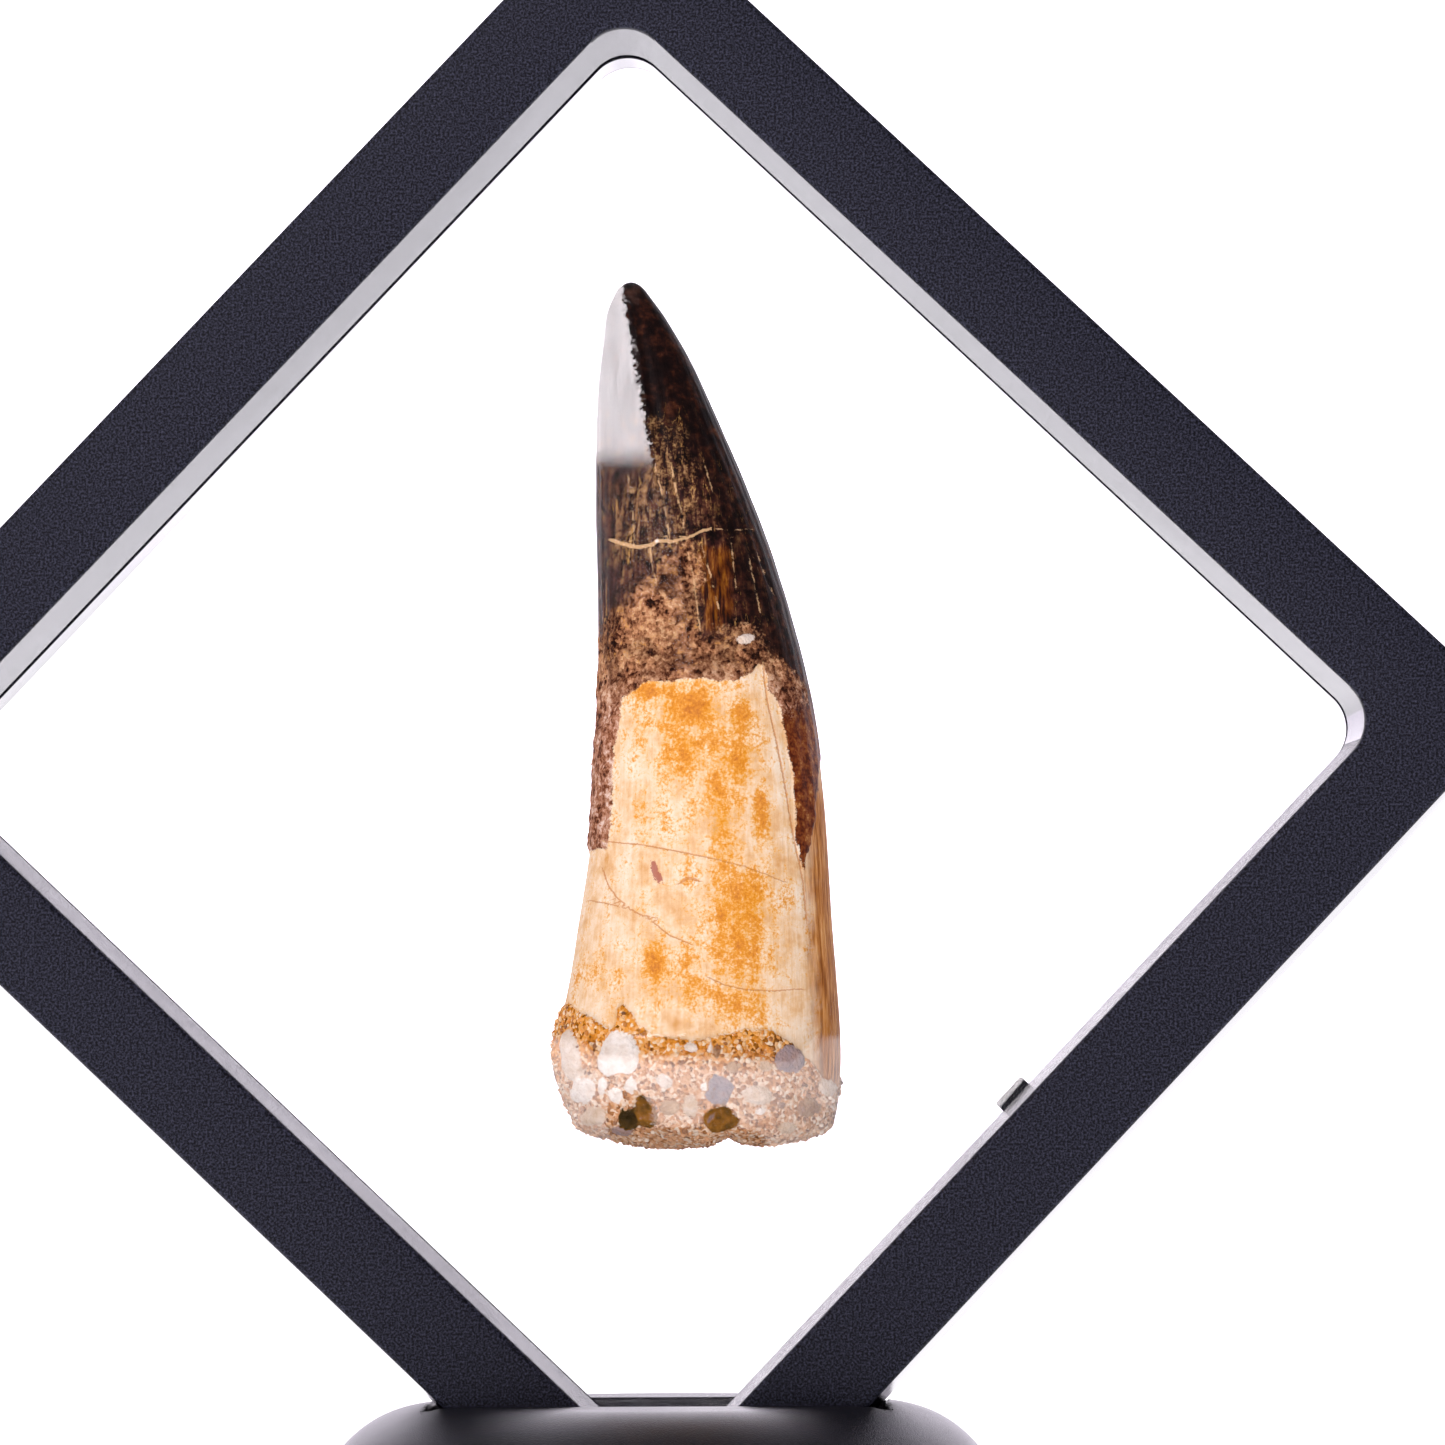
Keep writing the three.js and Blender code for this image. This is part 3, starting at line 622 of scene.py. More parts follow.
def foot_shape(points):
    """Lumpy underside: the foot's lowest part rises and falls, with a notch right of the middle."""
    x, depth, height = points.T
    low = smooth_step(2.6, 0, height)
    wave = 0.45 + 0.45 * fractal(points * (1, 0.6, 0), 5.5, 2, 95)
    notch = 1.1 * np.exp(-((x - 7.2) / 1.0) ** 2) * np.exp(-((depth + 1) / 7) ** 2)
    left = 0.9 * smooth_step(1.5, -4.5, x)
    return low * (np.clip(wave, 0, 1.3) * 0.8 + notch + left * 0.6)


def ring_faces(rings, count):
    """Quads between rings, facing away from the middle, and fans that close both ends."""
    ring = np.arange(rings - 1)[:, None] * count
    here = np.arange(count)[None, :]
    after = (here + 1) % count
    quads = np.stack([ring + here, ring + after, ring + count + after, ring + count + here], axis=2).reshape(-1, 4)
    foot = rings * count
    top = (rings - 1) * count
    fans = [[foot, (n + 1) % count, n] for n in range(count)]
    fans += [[foot + 1, top + n, top + (n + 1) % count] for n in range(count)]
    return quads.tolist() + fans


def fossil_material():
    """Fossil tooth. The eye gets smooth dark enamel with golden hairline cracks, a band of rough
    brown crust, ivory root with orange iron stains, and sandstone with pale pebbles at the foot."""
    made, tree, out = new_material("fossil enamel, root and sandstone")
    place = add(tree, "ShaderNodeTexCoord").outputs["Object"]
    mark = {
        name: add(tree, "ShaderNodeAttribute", attribute_name=name).outputs["Fac"]
        for name in ("crown", "crust", "stone", "amber", "dusty", "line", "line_width", "pebble", "pebble_tone_and_hollow_shade",
                     "stain", "red", "band", "plain")
    }
    height = add(tree, "ShaderNodeSeparateXYZ", {0: place}).outputs["Z"]
    # Lengthwise grain of tooth and bone: 0.35 mm across and 4 mm along, then streaks of 1.5 by 12 mm
    fibres = noise(tree, place, (2800, 2800, 230), 4.0, 0.6)
    streaks = noise(tree, place, (650, 650, 80), 3.0)
    # Wavy lengthwise threads about 0.7 mm apart
    threads = noise(tree, place, (1100, 1100, 110), 2.5, 0.55)
    # Clouds of 2.5 mm, blots of 0.8 mm and specks of 0.25 mm
    clouds = noise(tree, place, 400.0, 5.0, 0.62)
    blots = noise(tree, place, 1250.0, 4.0, 0.6)
    specks = noise(tree, place, 4000.0, 3.0, 0.7)
    ragged = calc(tree, "SUBTRACT", specks, 0.5)
    # Crumbs and sand grains of 0.3 mm
    grain = add(tree, "ShaderNodeTexVoronoi", {"Vector": place, "Scale": 3300.0, "Randomness": 1.0})
    grain_tone = add(tree, "ShaderNodeSeparateColor", {0: grain.outputs["Color"]}).outputs[0]

    masks = {}
    for name, spread, wander in (("crown", 0.05, 0.5), ("crust", 0.45, 2.6), ("stone", 0.06, 0.5),
                                 ("pebble", 0.05, 0.45), ("amber", 0.4, 0.6), ("dusty", 0.9, 1.5), ("red", 0.06, 1.1)):
        masks[name] = span(tree, calc(tree, "MULTIPLY_ADD", ragged, wander, mark[name]), -spread, spread)

    # Enamel: nearly black, with red-brown mottles
    mottle = calc(tree, "MULTIPLY_ADD", streaks, 0.35, blots)
    mottle = calc(tree, "MULTIPLY_ADD", clouds, 0.5, mottle)
    enamel = tones(
        tree, mottle, (0.74, "#090505"), (0.9, "#130908"), (1.0, "#22100b"), (1.1, "#361b10"), (1.26, "#4c2a19"),
    )
    # Lower crown: purple-brown with golden threads
    lower_tone = tones(
        tree, calc(tree, "MULTIPLY_ADD", blots, 0.6, fibres), (0.6, "#170a0a"), (0.76, "#2f1815"), (0.88, "#4a2a20"),
        (1.0, "#775236"), (1.12, "#a98556"),
    )
    lower = calc(tree, "MULTIPLY", span(tree, height, 0.1085, 0.1), span(tree, blots, 0.34, 0.56))
    busy = calc(tree, "MULTIPLY_ADD", mark["plain"], -0.85, 1.0)
    lower = calc(tree, "MULTIPLY", lower, busy)
    enamel = blend(tree, lower, enamel, lower_tone)
    thread = calc(tree, "ABSOLUTE", calc(tree, "SUBTRACT", threads, 0.5))
    thread = span(tree, thread, 0.016, 0.004)
    broken = calc(tree, "MULTIPLY", span(tree, specks, 0.42, 0.55), span(tree, clouds, 0.45, 0.56))
    thread = calc(tree, "MULTIPLY", calc(tree, "MULTIPLY", thread, broken), span(tree, height, 0.1115, 0.1035))
    thread = calc(tree, "MULTIPLY", thread, busy)
    enamel = blend(tree, calc(tree, "MULTIPLY", thread, 0.85), enamel, linear("#b98b4e"))
    amber = tones(tree, fibres, (0.38, "#1c0b05"), (0.5, "#572808"), (0.66, "#8f5512"))
    enamel = blend(tree, calc(tree, "MULTIPLY", masks["amber"], 0.7), enamel, amber)
    dust = calc(tree, "MULTIPLY", masks["dusty"], span(tree, calc(tree, "ADD", specks, fibres), 0.95, 1.2, 0.0, 0.7))
    enamel = blend(tree, dust, enamel, tones(tree, blots, (0.35, "#5b3b25"), (0.5, "#8b6542"), (0.65, "#b3905f")))
    # Red-brown wedge and flange down the sides of the root
    low_crown = calc(tree, "MULTIPLY", span(tree, height, 0.088, 0.078), 0.85)
    wedge = tones(
        tree, calc(tree, "MULTIPLY_ADD", ragged, 0.5, blots), (0.36, "#44190a"), (0.48, "#6a3014"), (0.6, "#874a20"),
        (0.74, "#b07a44"),
    )
    enamel = blend(tree, low_crown, enamel, wedge)

    # Crust: brown and tan crumbs with dark pits
    crumbs = calc(tree, "MULTIPLY_ADD", grain_tone, 0.22, blots)
    crumbs = calc(tree, "MULTIPLY_ADD", clouds, 0.8, crumbs)
    crumbs = calc(tree, "MULTIPLY_ADD", ragged, 0.45, crumbs)
    crust = tones(
        tree, crumbs, (0.78, "#1a0a05"), (0.88, "#452414"), (1.0, "#86583c"), (1.12, "#a97854"), (1.26, "#c7a079"),
    )
    patches = span(tree, noise(tree, place, 330.0, 3.0), 0.46, 0.6, 0.0, 0.6)
    crust = blend(tree, patches, crust, tones(tree, crumbs, (0.78, "#130805"), (1.03, "#4a2c1c"), (1.28, "#8a6243")))
    golden = calc(tree, "MULTIPLY", span(tree, blots, 0.56, 0.64), span(tree, specks, 0.45, 0.6, 0.0, 0.8))
    crust = blend(tree, golden, crust, linear("#b07a3a"))
    flange = tones(
        tree, crumbs, (0.8, "#3a1c10"), (0.92, "#70402a"), (1.04, "#9c6a50"), (1.16, "#b58c76"), (1.28, "#cfb5a6"),
    )
    crust = blend(tree, span(tree, height, 0.087, 0.08), crust, flange)

    # Root: ivory with fine lengthwise grain, then iron stain from yellow to burnt orange
    ivory_mix = calc(tree, "MULTIPLY_ADD", fibres, 0.3, clouds)
    ivory = tones(tree, ivory_mix, (0.4, "#c08c52"), (0.54, "#cda67c"), (0.66, "#d6bc9e"), (0.82, "#dbccb9"))
    stain_mix = calc(tree, "MULTIPLY_ADD", clouds, 1.5, mark["stain"])
    stain_mix = calc(tree, "MULTIPLY_ADD", streaks, 1.1, stain_mix)
    stain_mix = calc(tree, "MULTIPLY_ADD", blots, 1.2, stain_mix)
    stain_mix = calc(tree, "MULTIPLY_ADD", ragged, 1.9, stain_mix)
    stain_tone = tones(
        tree, stain_mix, (1.9, "#d4a55e"), (2.25, "#d09334"), (2.65, "#c67c17"), (3.15, "#a65a0c"),
    )
    root = blend(tree, span(tree, stain_mix, 1.88, 2.55, 0.0, 0.95), ivory, stain_tone)
    band = tones(tree, fibres, (0.36, "#7c4417"), (0.5, "#a96a2e"), (0.62, "#c88e50"), (0.74, "#d4a970"))
    root = blend(tree, mark["band"], root, band)
    root = blend(tree, calc(tree, "MULTIPLY", masks["red"], 0.85), root, linear("#95524a"))

    # Stone: orange sand with dark and pale grains between the pebbles
    sand_mix = calc(tree, "MULTIPLY_ADD", ragged, 0.8, grain_tone)
    sand_mix = calc(tree, "MULTIPLY_ADD", blots, 0.6, sand_mix)
    sand = tones(
        tree, sand_mix, (0.2, "#553009"), (0.42, "#9c5c10"), (0.65, "#ca8029"), (0.9, "#d1944a"), (1.12, "#d5a979"),
        (1.3, "#dcc8ae"),
    )
    # Painted reflection: low on the stone the sand turns paler and greyer, like the film's mirror of the bright table
    # there
    painted_veil_sand = tones(tree, sand_mix, (0.3, "#86583a"), (0.6, "#b48460"), (0.85, "#c49d80"), (1.15, "#d2bfae"))
    sand = blend(tree, span(tree, height, 0.0524, 0.0494, 0.0, 0.75), sand, painted_veil_sand)
    pebble_mix = calc(tree, "MULTIPLY_ADD", blots, 0.55, calc(tree, "MULTIPLY", mark["pebble_tone_and_hollow_shade"], 0.9))
    # Tones below 0 are the golden-brown over the hollows and the painted shade in the deepest one
    pebble = tones(
        tree, pebble_mix, (-0.2, "#33260e"), (0.0, "#553b16"), (0.12, "#84561f"), (0.24, "#857a80"), (0.4, "#9d8580"),
        (0.56, "#8f6748"), (0.82, "#bb9d80"), (1.05, "#cdbcae"), (1.25, "#e0d8d1"),
    )
    stone = blend(tree, masks["pebble"], sand, pebble)

    dark = blend(tree, masks["crust"], enamel, crust)
    skin = blend(tree, masks["crown"], root, dark)
    # Hairlines: golden and cream in the crown, rusty in the root
    away = calc(tree, "ABSOLUTE", calc(tree, "MULTIPLY_ADD", ragged, 0.34, mark["line"]))
    hair = span(tree, calc(tree, "SUBTRACT", mark["line_width"], away), -0.03, 0.03)
    hair = calc(tree, "MULTIPLY", hair, calc(tree, "GREATER_THAN", mark["line_width"], 0.02))
    gaps = calc(tree, "MULTIPLY", masks["crown"], span(tree, blots, 0.58, 0.42))
    gaps = calc(tree, "MULTIPLY", gaps, calc(tree, "LESS_THAN", mark["line_width"], 0.1))
    hair = calc(tree, "MULTIPLY", hair, calc(tree, "SUBTRACT", 1.0, gaps))
    hair_tone = blend(tree, masks["crown"], linear("#b5753f"), linear("#c9a377"))
    skin = blend(tree, calc(tree, "MULTIPLY", hair, 0.72), skin, hair_tone)
    skin = blend(tree, calc(tree, "MULTIPLY", masks["crown"], masks["pebble"]), skin, pebble)
    colour = blend(tree, masks["stone"], skin, stone)

    # Enamel shines, crust and stone are dull, bone lies between
    rough = add(tree, "ShaderNodeMix", {0: masks["crust"], 2: 0.4, 3: 0.75}).outputs[0]
    rough = add(tree, "ShaderNodeMix", {0: masks["crown"], 2: 0.55, 3: rough}).outputs[0]
    rough = add(tree, "ShaderNodeMix", {0: masks["stone"], 2: rough, 3: 0.8}).outputs[0]
    # Relief too fine for the mesh: grain in the bone, crumbs in crust and stone
    grit = calc(tree, "SUBTRACT", calc(tree, "ADD", specks, blots), grain.outputs["Distance"])
    gritty = calc(tree, "MAXIMUM", calc(tree, "MULTIPLY", masks["crust"], masks["crown"]), masks["stone"])
    relief = add(tree, "ShaderNodeMix", {0: gritty, 2: calc(tree, "MULTIPLY", fibres, 0.6), 3: grit}).outputs[0]
    relief = calc(tree, "MULTIPLY_ADD", hair, -0.3, relief)
    bump = add(tree, "ShaderNodeBump", {"Height": relief, "Distance": 0.00014, "Strength": 0.8}).outputs[0]
    shader = add(tree, "ShaderNodeBsdfPrincipled", {
        "Base Color": colour, "Roughness": rough, "IOR": 1.5, "Specular IOR Level": 0.05, "Normal": bump,
    })
    tree.links.new(shader.outputs[0], out.inputs[0])
    return made


def sand_material():
    """Loose-looking quartz sand set in the stone. Each grain has one tone, from rust to clear white."""
    made, tree, out = new_material("cemented quartz sand")
    place = add(tree, "ShaderNodeTexCoord").outputs["Object"]
    tint = add(tree, "ShaderNodeAttribute", attribute_name="tint").outputs["Fac"]
    fine = noise(tree, place, 6000.0, 2.0)
    colour = tones(
        tree, calc(tree, "MULTIPLY_ADD", fine, 0.25, tint), (0.1, "#553009"), (0.3, "#9a5a12"), (0.55, "#c98029"),
        (0.8, "#d29a50"), (1.0, "#d6ae7e"), (1.12, "#e0d0ba"),
    )
    height = add(tree, "ShaderNodeSeparateXYZ", {0: place}).outputs["Z"]
    # Painted reflection: low on the stone the grains turn paler and greyer, like the film's mirror of the bright table
    # there
    painted_veil_sand = tones(tree, tint, (0.0, "#80583c"), (0.4, "#b48664"), (0.75, "#c4a084"), (1.0, "#d4c4b6"))
    colour = blend(tree, span(tree, height, 0.0524, 0.0494, 0.0, 0.75), colour, painted_veil_sand)
    bump = add(tree, "ShaderNodeBump", {"Height": fine, "Distance": 0.00005, "Strength": 0.6}).outputs[0]
    shader = add(tree, "ShaderNodeBsdfPrincipled", {
        "Base Color": colour, "Roughness": 0.6, "IOR": 1.54, "Normal": bump,
    })
    tree.links.new(shader.outputs[0], out.inputs[0])
    return made


def plastic_material(name, colour, rough, grain_size, grain_depth, glint_paleness, shine, index=1.53):
    """Black ABS. The eye gets the mould's fine even grain, with painted glints: its colour turns
    paler on the grain's high points. A sheen at flat angles comes from the surface."""
    made, tree, out = new_material(name)
    place = add(tree, "ShaderNodeTexCoord").outputs["Object"]
    grain = noise(tree, place, 1 / grain_size, 2.0, 0.65)
    clouds = noise(tree, place, 90.0, 3.0)
    # Painted glints: the base colour is made many times paler on the grain's high points
    pale = [min(1.0, c * glint_paleness) for c in colour] + [1.0]
    tone = blend(tree, span(tree, grain, 0.42, 0.8, curve="LINEAR"), [*colour, 1.0], pale)
    varied = calc(tree, "MULTIPLY_ADD", clouds, 0.12, rough - 0.06)
    bump = add(tree, "ShaderNodeBump", {"Height": grain, "Distance": grain_depth, "Strength": 1.0}).outputs[0]
    shader = add(tree, "ShaderNodeBsdfPrincipled", {
        "Base Color": tone, "Roughness": varied, "IOR": index, "Specular IOR Level": shine,
        "Specular Tint": (0.93, 0.92, 1.0, 1.0), "Normal": bump,
    })
    tree.links.new(shader.outputs[0], out.inputs[0])
    return made


def film_material(settings):
    """Clear stretched elastic film. The eye sees straight through it and gets sharp soft-edged
    reflections on its slopes, which break off where it clings to the tooth."""
    made, tree, out = new_material("clear stretched film")
    place = add(tree, "ShaderNodeTexCoord").outputs["Object"]
    cling = add(tree, "ShaderNodeAttribute", attribute_name="cling").outputs["Fac"]
    dull = add(tree, "ShaderNodeAttribute", attribute_name="dull").outputs["Fac"]
    # Ragged rim of the clinging part: 0.5 mm teeth
    ragged = calc(tree, "SUBTRACT", noise(tree, place, 2100.0, 3.0, 0.6), 0.5)
    held = span(tree, calc(tree, "MULTIPLY_ADD", ragged, 2.2, cling), -0.05, 0.05, 1.0, 0.02)
    held = calc(tree, "MULTIPLY", held, calc(tree, "SUBTRACT", 1.0, dull))
    held = calc(tree, "MULTIPLY", held, span(tree, noise(tree, place, (900, 900, 60), 2.0), 0.3, 0.65, 0.8, 1.0))
    facing = add(tree, "ShaderNodeLayerWeight", {"Blend": 0.5}).outputs["Facing"]
    edge = calc(tree, "POWER", facing, 5.0)
    share = calc(tree, "MULTIPLY_ADD", edge, 1 - settings.mirror, settings.mirror)
    share = calc(tree, "MULTIPLY", share, held)
    clear = add(tree, "ShaderNodeBsdfTransparent", {"Color": (1, 1, 1, 1)})
    mirror = add(tree, "ShaderNodeBsdfAnisotropic", {"Color": (1, 1, 1, 1), "Roughness": settings.roughness})
    both = add(tree, "ShaderNodeMixShader", {0: share, 1: clear.outputs[0], 2: mirror.outputs[0]})
    tree.links.new(both.outputs[0], out.inputs[0])
    return made


def scatter_tree():
    """Grains scattered over a surface as thickly as its grain_share says, in one mesh."""
    tree = bpy.data.node_groups.new("sand on a surface", "GeometryNodeTree")
    face = tree.interface
    face.new_socket(name="Geometry", in_out="OUTPUT", socket_type="NodeSocketGeometry")
    face.new_socket(name="Surface", in_out="INPUT", socket_type="NodeSocketGeometry")
    for name, kind in (("Grain", "NodeSocketFloat"), ("Density", "NodeSocketFloat"), ("Seed", "NodeSocketInt"),
                       ("Finish", "NodeSocketMaterial")):
        face.new_socket(name=name, in_out="INPUT", socket_type=kind)
    start = add(tree, "NodeGroupInput")
    share = add(tree, "GeometryNodeInputNamedAttribute", {"Name": "grain_share"}, data_type="FLOAT").outputs[0]
    thick = add(tree, "ShaderNodeMath", {0: share, 1: start.outputs["Density"]}, operation="MULTIPLY").outputs[0]
    spots = add(tree, "GeometryNodeDistributePointsOnFaces", {
        "Mesh": start.outputs["Surface"], "Density": thick, "Seed": start.outputs["Seed"],
    }).outputs["Points"]
    radius = add(tree, "ShaderNodeMath", {0: start.outputs["Grain"], 1: 0.5}, operation="MULTIPLY").outputs[0]
    grain = add(tree, "GeometryNodeMeshIcoSphere", {"Radius": radius, "Subdivisions": 2}).outputs[0]
    size = add(tree, "FunctionNodeRandomValue", {
        "Min": (0.5, 0.5, 0.5), "Max": (1.35, 1.35, 1.2), "Seed": 3,
    }, data_type="FLOAT_VECTOR").outputs[0]
    turn = add(tree, "FunctionNodeRandomValue", {
        "Min": (0, 0, 0), "Max": (6.28, 6.28, 6.28), "Seed": 4,
    }, data_type="FLOAT_VECTOR").outputs[0]
    placed = add(tree, "GeometryNodeInstanceOnPoints", {
        "Points": spots, "Instance": grain, "Rotation": turn, "Scale": size,
    }).outputs[0]
    tone = add(tree, "FunctionNodeRandomValue", {"Seed": 5}, data_type="FLOAT").outputs[1]
    toned = add(tree, "GeometryNodeStoreNamedAttribute", {
        "Geometry": placed, "Name": "tint", "Value": tone,
    }, data_type="FLOAT", domain="INSTANCE").outputs[0]
    real = add(tree, "GeometryNodeRealizeInstances", {0: toned}).outputs[0]
    done = add(tree, "GeometryNodeSetMaterial", {"Geometry": real, "Material": start.outputs["Finish"]}).outputs[0]
    add(tree, "NodeGroupOutput", {0: done})
    return tree


def base_tree():
    """Turned puck with a soft shoulder and a foot bevel, less a slot."""
    tree = bpy.data.node_groups.new("turned base with a slot", "GeometryNodeTree")
    face = tree.interface
    face.new_socket(name="Geometry", in_out="OUTPUT", socket_type="NodeSocketGeometry")
    face.new_socket(name="Start", in_out="INPUT", socket_type="NodeSocketGeometry")
    for name in ("Radius", "Height", "Shoulder", "Foot bevel", "Slot length", "Slot width", "Slot floor"):
        face.new_socket(name=name, in_out="INPUT", socket_type="NodeSocketFloat")
    face.new_socket(name="Finish", in_out="INPUT", socket_type="NodeSocketMaterial")
    start = add(tree, "NodeGroupInput").outputs
    steps = 48
    wall = 12 / steps
    puck = add(tree, "GeometryNodeMeshCylinder", {
        "Vertices": 160, "Side Segments": steps, "Radius": 1.0, "Depth": 1.0,
    }).outputs["Mesh"]
    spot = add(tree, "ShaderNodeSeparateXYZ", {0: add(tree, "GeometryNodeInputPosition").outputs[0]}).outputs
    share = add(tree, "ShaderNodeMath", {0: spot["Z"], 1: 0.5}, operation="ADD").outputs[0]
    turn = add(tree, "ShaderNodeMapRange", {
        "Value": share, "From Min": wall, "From Max": 1.0, "To Max": math.pi / 2,
    }).outputs[0]
    straight = add(tree, "ShaderNodeMath", {0: start["Height"], 1: start["Shoulder"]}, operation="SUBTRACT").outputs[0]
    up_wall = add(tree, "ShaderNodeMapRange", {"Value": share, "From Max": wall, "To Max": straight}).outputs[0]
    sine = add(tree, "ShaderNodeMath", {0: turn}, operation="SINE").outputs[0]
    cosine = add(tree, "ShaderNodeMath", {0: turn}, operation="COSINE").outputs[0]
    height = add(tree, "ShaderNodeMath", {0: sine, 1: start["Shoulder"], 2: up_wall}, operation="MULTIPLY_ADD").outputs[0]
    flat = add(tree, "ShaderNodeMath", {0: start["Radius"], 1: start["Shoulder"]}, operation="SUBTRACT").outputs[0]
    reach = add(tree, "ShaderNodeMath", {0: cosine, 1: start["Shoulder"], 2: flat}, operation="MULTIPLY_ADD").outputs[0]
    foot = add(tree, "ShaderNodeMath", {0: share, 1: 0.01}, operation="LESS_THAN").outputs[0]
    bevel = add(tree, "ShaderNodeMath", {0: foot, 1: start["Foot bevel"]}, operation="MULTIPLY").outputs[0]
    reach = add(tree, "ShaderNodeMath", {0: reach, 1: bevel}, operation="SUBTRACT").outputs[0]
    x = add(tree, "ShaderNodeMath", {0: spot["X"], 1: reach}, operation="MULTIPLY").outputs[0]
    y = add(tree, "ShaderNodeMath", {0: spot["Y"], 1: reach}, operation="MULTIPLY").outputs[0]
    there = add(tree, "ShaderNodeCombineXYZ", {"X": x, "Y": y, "Z": height}).outputs[0]
    turned = add(tree, "GeometryNodeSetPosition", {"Geometry": puck, "Position": there}).outputs[0]
    tall = add(tree, "ShaderNodeMath", {0: start["Height"], 1: 2.0}, operation="MULTIPLY").outputs[0]
    size = add(tree, "ShaderNodeCombineXYZ", {"X": start["Slot length"], "Y": start["Slot width"], "Z": tall}).outputs[0]
    cutter = add(tree, "GeometryNodeMeshCube", {"Size": size}).outputs["Mesh"]
    middle = add(tree, "ShaderNodeMath", {0: start["Slot floor"], 1: start["Height"]}, operation="ADD").outputs[0]
    lift = add(tree, "ShaderNodeCombineXYZ", {"Z": middle}).outputs[0]
    cutter = add(tree, "GeometryNodeTransform", {"Geometry": cutter, "Translation": lift}).outputs[0]
    cut = add(tree, "GeometryNodeMeshBoolean", {"Mesh 1": turned, "Mesh 2": cutter}, operation="DIFFERENCE").outputs[0]
    real = add(tree, "GeometryNodeRealizeInstances", {0: cut}).outputs[0]
    done = add(tree, "GeometryNodeSetMaterial", {"Geometry": real, "Material": start["Finish"]}).outputs[0]
    add(tree, "NodeGroupOutput", {0: done})
    return tree


def grown(mesh, tree, values):
    """Runs a Geometry Nodes tree on a mesh and gives its result as a plain mesh."""
    carrier = bpy.data.objects.new("carrier", mesh)
    bpy.context.scene.collection.objects.link(carrier)
    modifier = carrier.modifiers.new("nodes", "NODES")
    modifier.node_group = tree
    for item in tree.interface.items_tree:
        if item.in_out == "INPUT" and item.name in values:
            modifier[item.identifier] = values[item.name]
    bpy.context.view_layer.update()
    seen = carrier.evaluated_get(bpy.context.evaluated_depsgraph_get())
    made = bpy.data.meshes.new_from_object(seen)
    carrier.modifiers.clear()
    bpy.data.objects.remove(carrier)
    return made


def to_upright(a, b):
    """From the case's own square to x and height, in millimetres."""
    x = a * math.cos(CASE_TURN) + b * math.sin(CASE_TURN) + CASE_SHIFT
    return x, b * math.cos(CASE_TURN) - a * math.sin(CASE_TURN) + CASE_HEIGHT


def rounded_square(half, radius, steps):
    """Outline of a square with round corners."""
    points = []
    for quarter, (sideways, upwards) in enumerate(((1, 1), (-1, 1), (-1, -1), (1, -1))):
        for step in range(steps + 1):
            turn = (quarter + step / steps) * math.pi / 2
            points.append((
                sideways * (half - radius) + radius * math.cos(turn),
                upwards * (half - radius) + radius * math.sin(turn),
            ))
    return np.array(points)


def case_rows(settings, with_rib):
    """Section of one half: half side, corner radius and distance in front of the joint."""
    outer = settings.side / MM / 2
    corner = settings.corner / MM
    face = settings.depth / MM / 2
    edge = settings.edge / MM
    chamfer = 0.12
    rows = [(outer - chamfer, corner - chamfer, JOINT_FACE), (outer, corner, JOINT_FACE + chamfer)]
    bends = [math.radians(turn) for turn in (0, 18, 36, 54, 72, 90)]
    for bend in bends:
        inset = OUTER_DRAFT + edge * (1 - math.cos(bend))
        rows.append((outer - inset, corner - inset, face - edge * (1 - math.sin(bend))))
    for bend in reversed(bends):
        inset = INNER_DRAFT + edge * (1 - math.cos(bend))
        rows.append((OPENING_HALF + inset, OPENING_CORNER + 0.4 * inset, face - edge * (1 - math.sin(bend))))
    rows.append((OPENING_HALF + 0.96 * INNER_DRAFT, OPENING_CORNER + 0.38 * INNER_DRAFT, face - edge - 0.4))
    rows.append((OPENING_HALF, OPENING_CORNER, POCKET_FACE + 0.1))
    rows.append((OPENING_HALF + 0.1, OPENING_CORNER + 0.1, POCKET_FACE))
    rows.append((RIM_POCKET, 2.0, POCKET_FACE))
    rows.append((RIM_POCKET, 2.0, JOINT_FACE))
    room = 0.0 if with_rib else 0.3
    reach = JOINT_FACE - 1.5 if with_rib else JOINT_FACE + 1.5
    rows.append((RIB_INNER - room, 3.0, JOINT_FACE))
    rows.append((RIB_INNER + 0.15 - room, 3.0, reach))
    rows.append((RIB_INNER + RIB_WIDTH - 0.15 + room, 3.0, reach))
    rows.append((RIB_INNER + RIB_WIDTH + room, 3.0, JOINT_FACE))
    return rows


def case_half(settings, side, with_rib):
    """Points and faces of one half of the case."""
    steps = 14
    rows = case_rows(settings, with_rib)
    count = 4 * (steps + 1)
    points = []
    for half, radius, depth in rows:
        outline = rounded_square(half, radius, steps)
        x, z = to_upright(outline[:, 0], outline[:, 1])
        points += [(px, side * depth, pz) for px, pz in zip(x, z)]
    faces = []
    for row in range(len(rows)):
        after = (row + 1) % len(rows)
        for n in range(count):
            near = (n + 1) % count
            quad = [row * count + n, row * count + near, after * count + near, after * count + n]
            faces.append(quad if side > 0 else quad[::-1])
    return np.array(points), faces


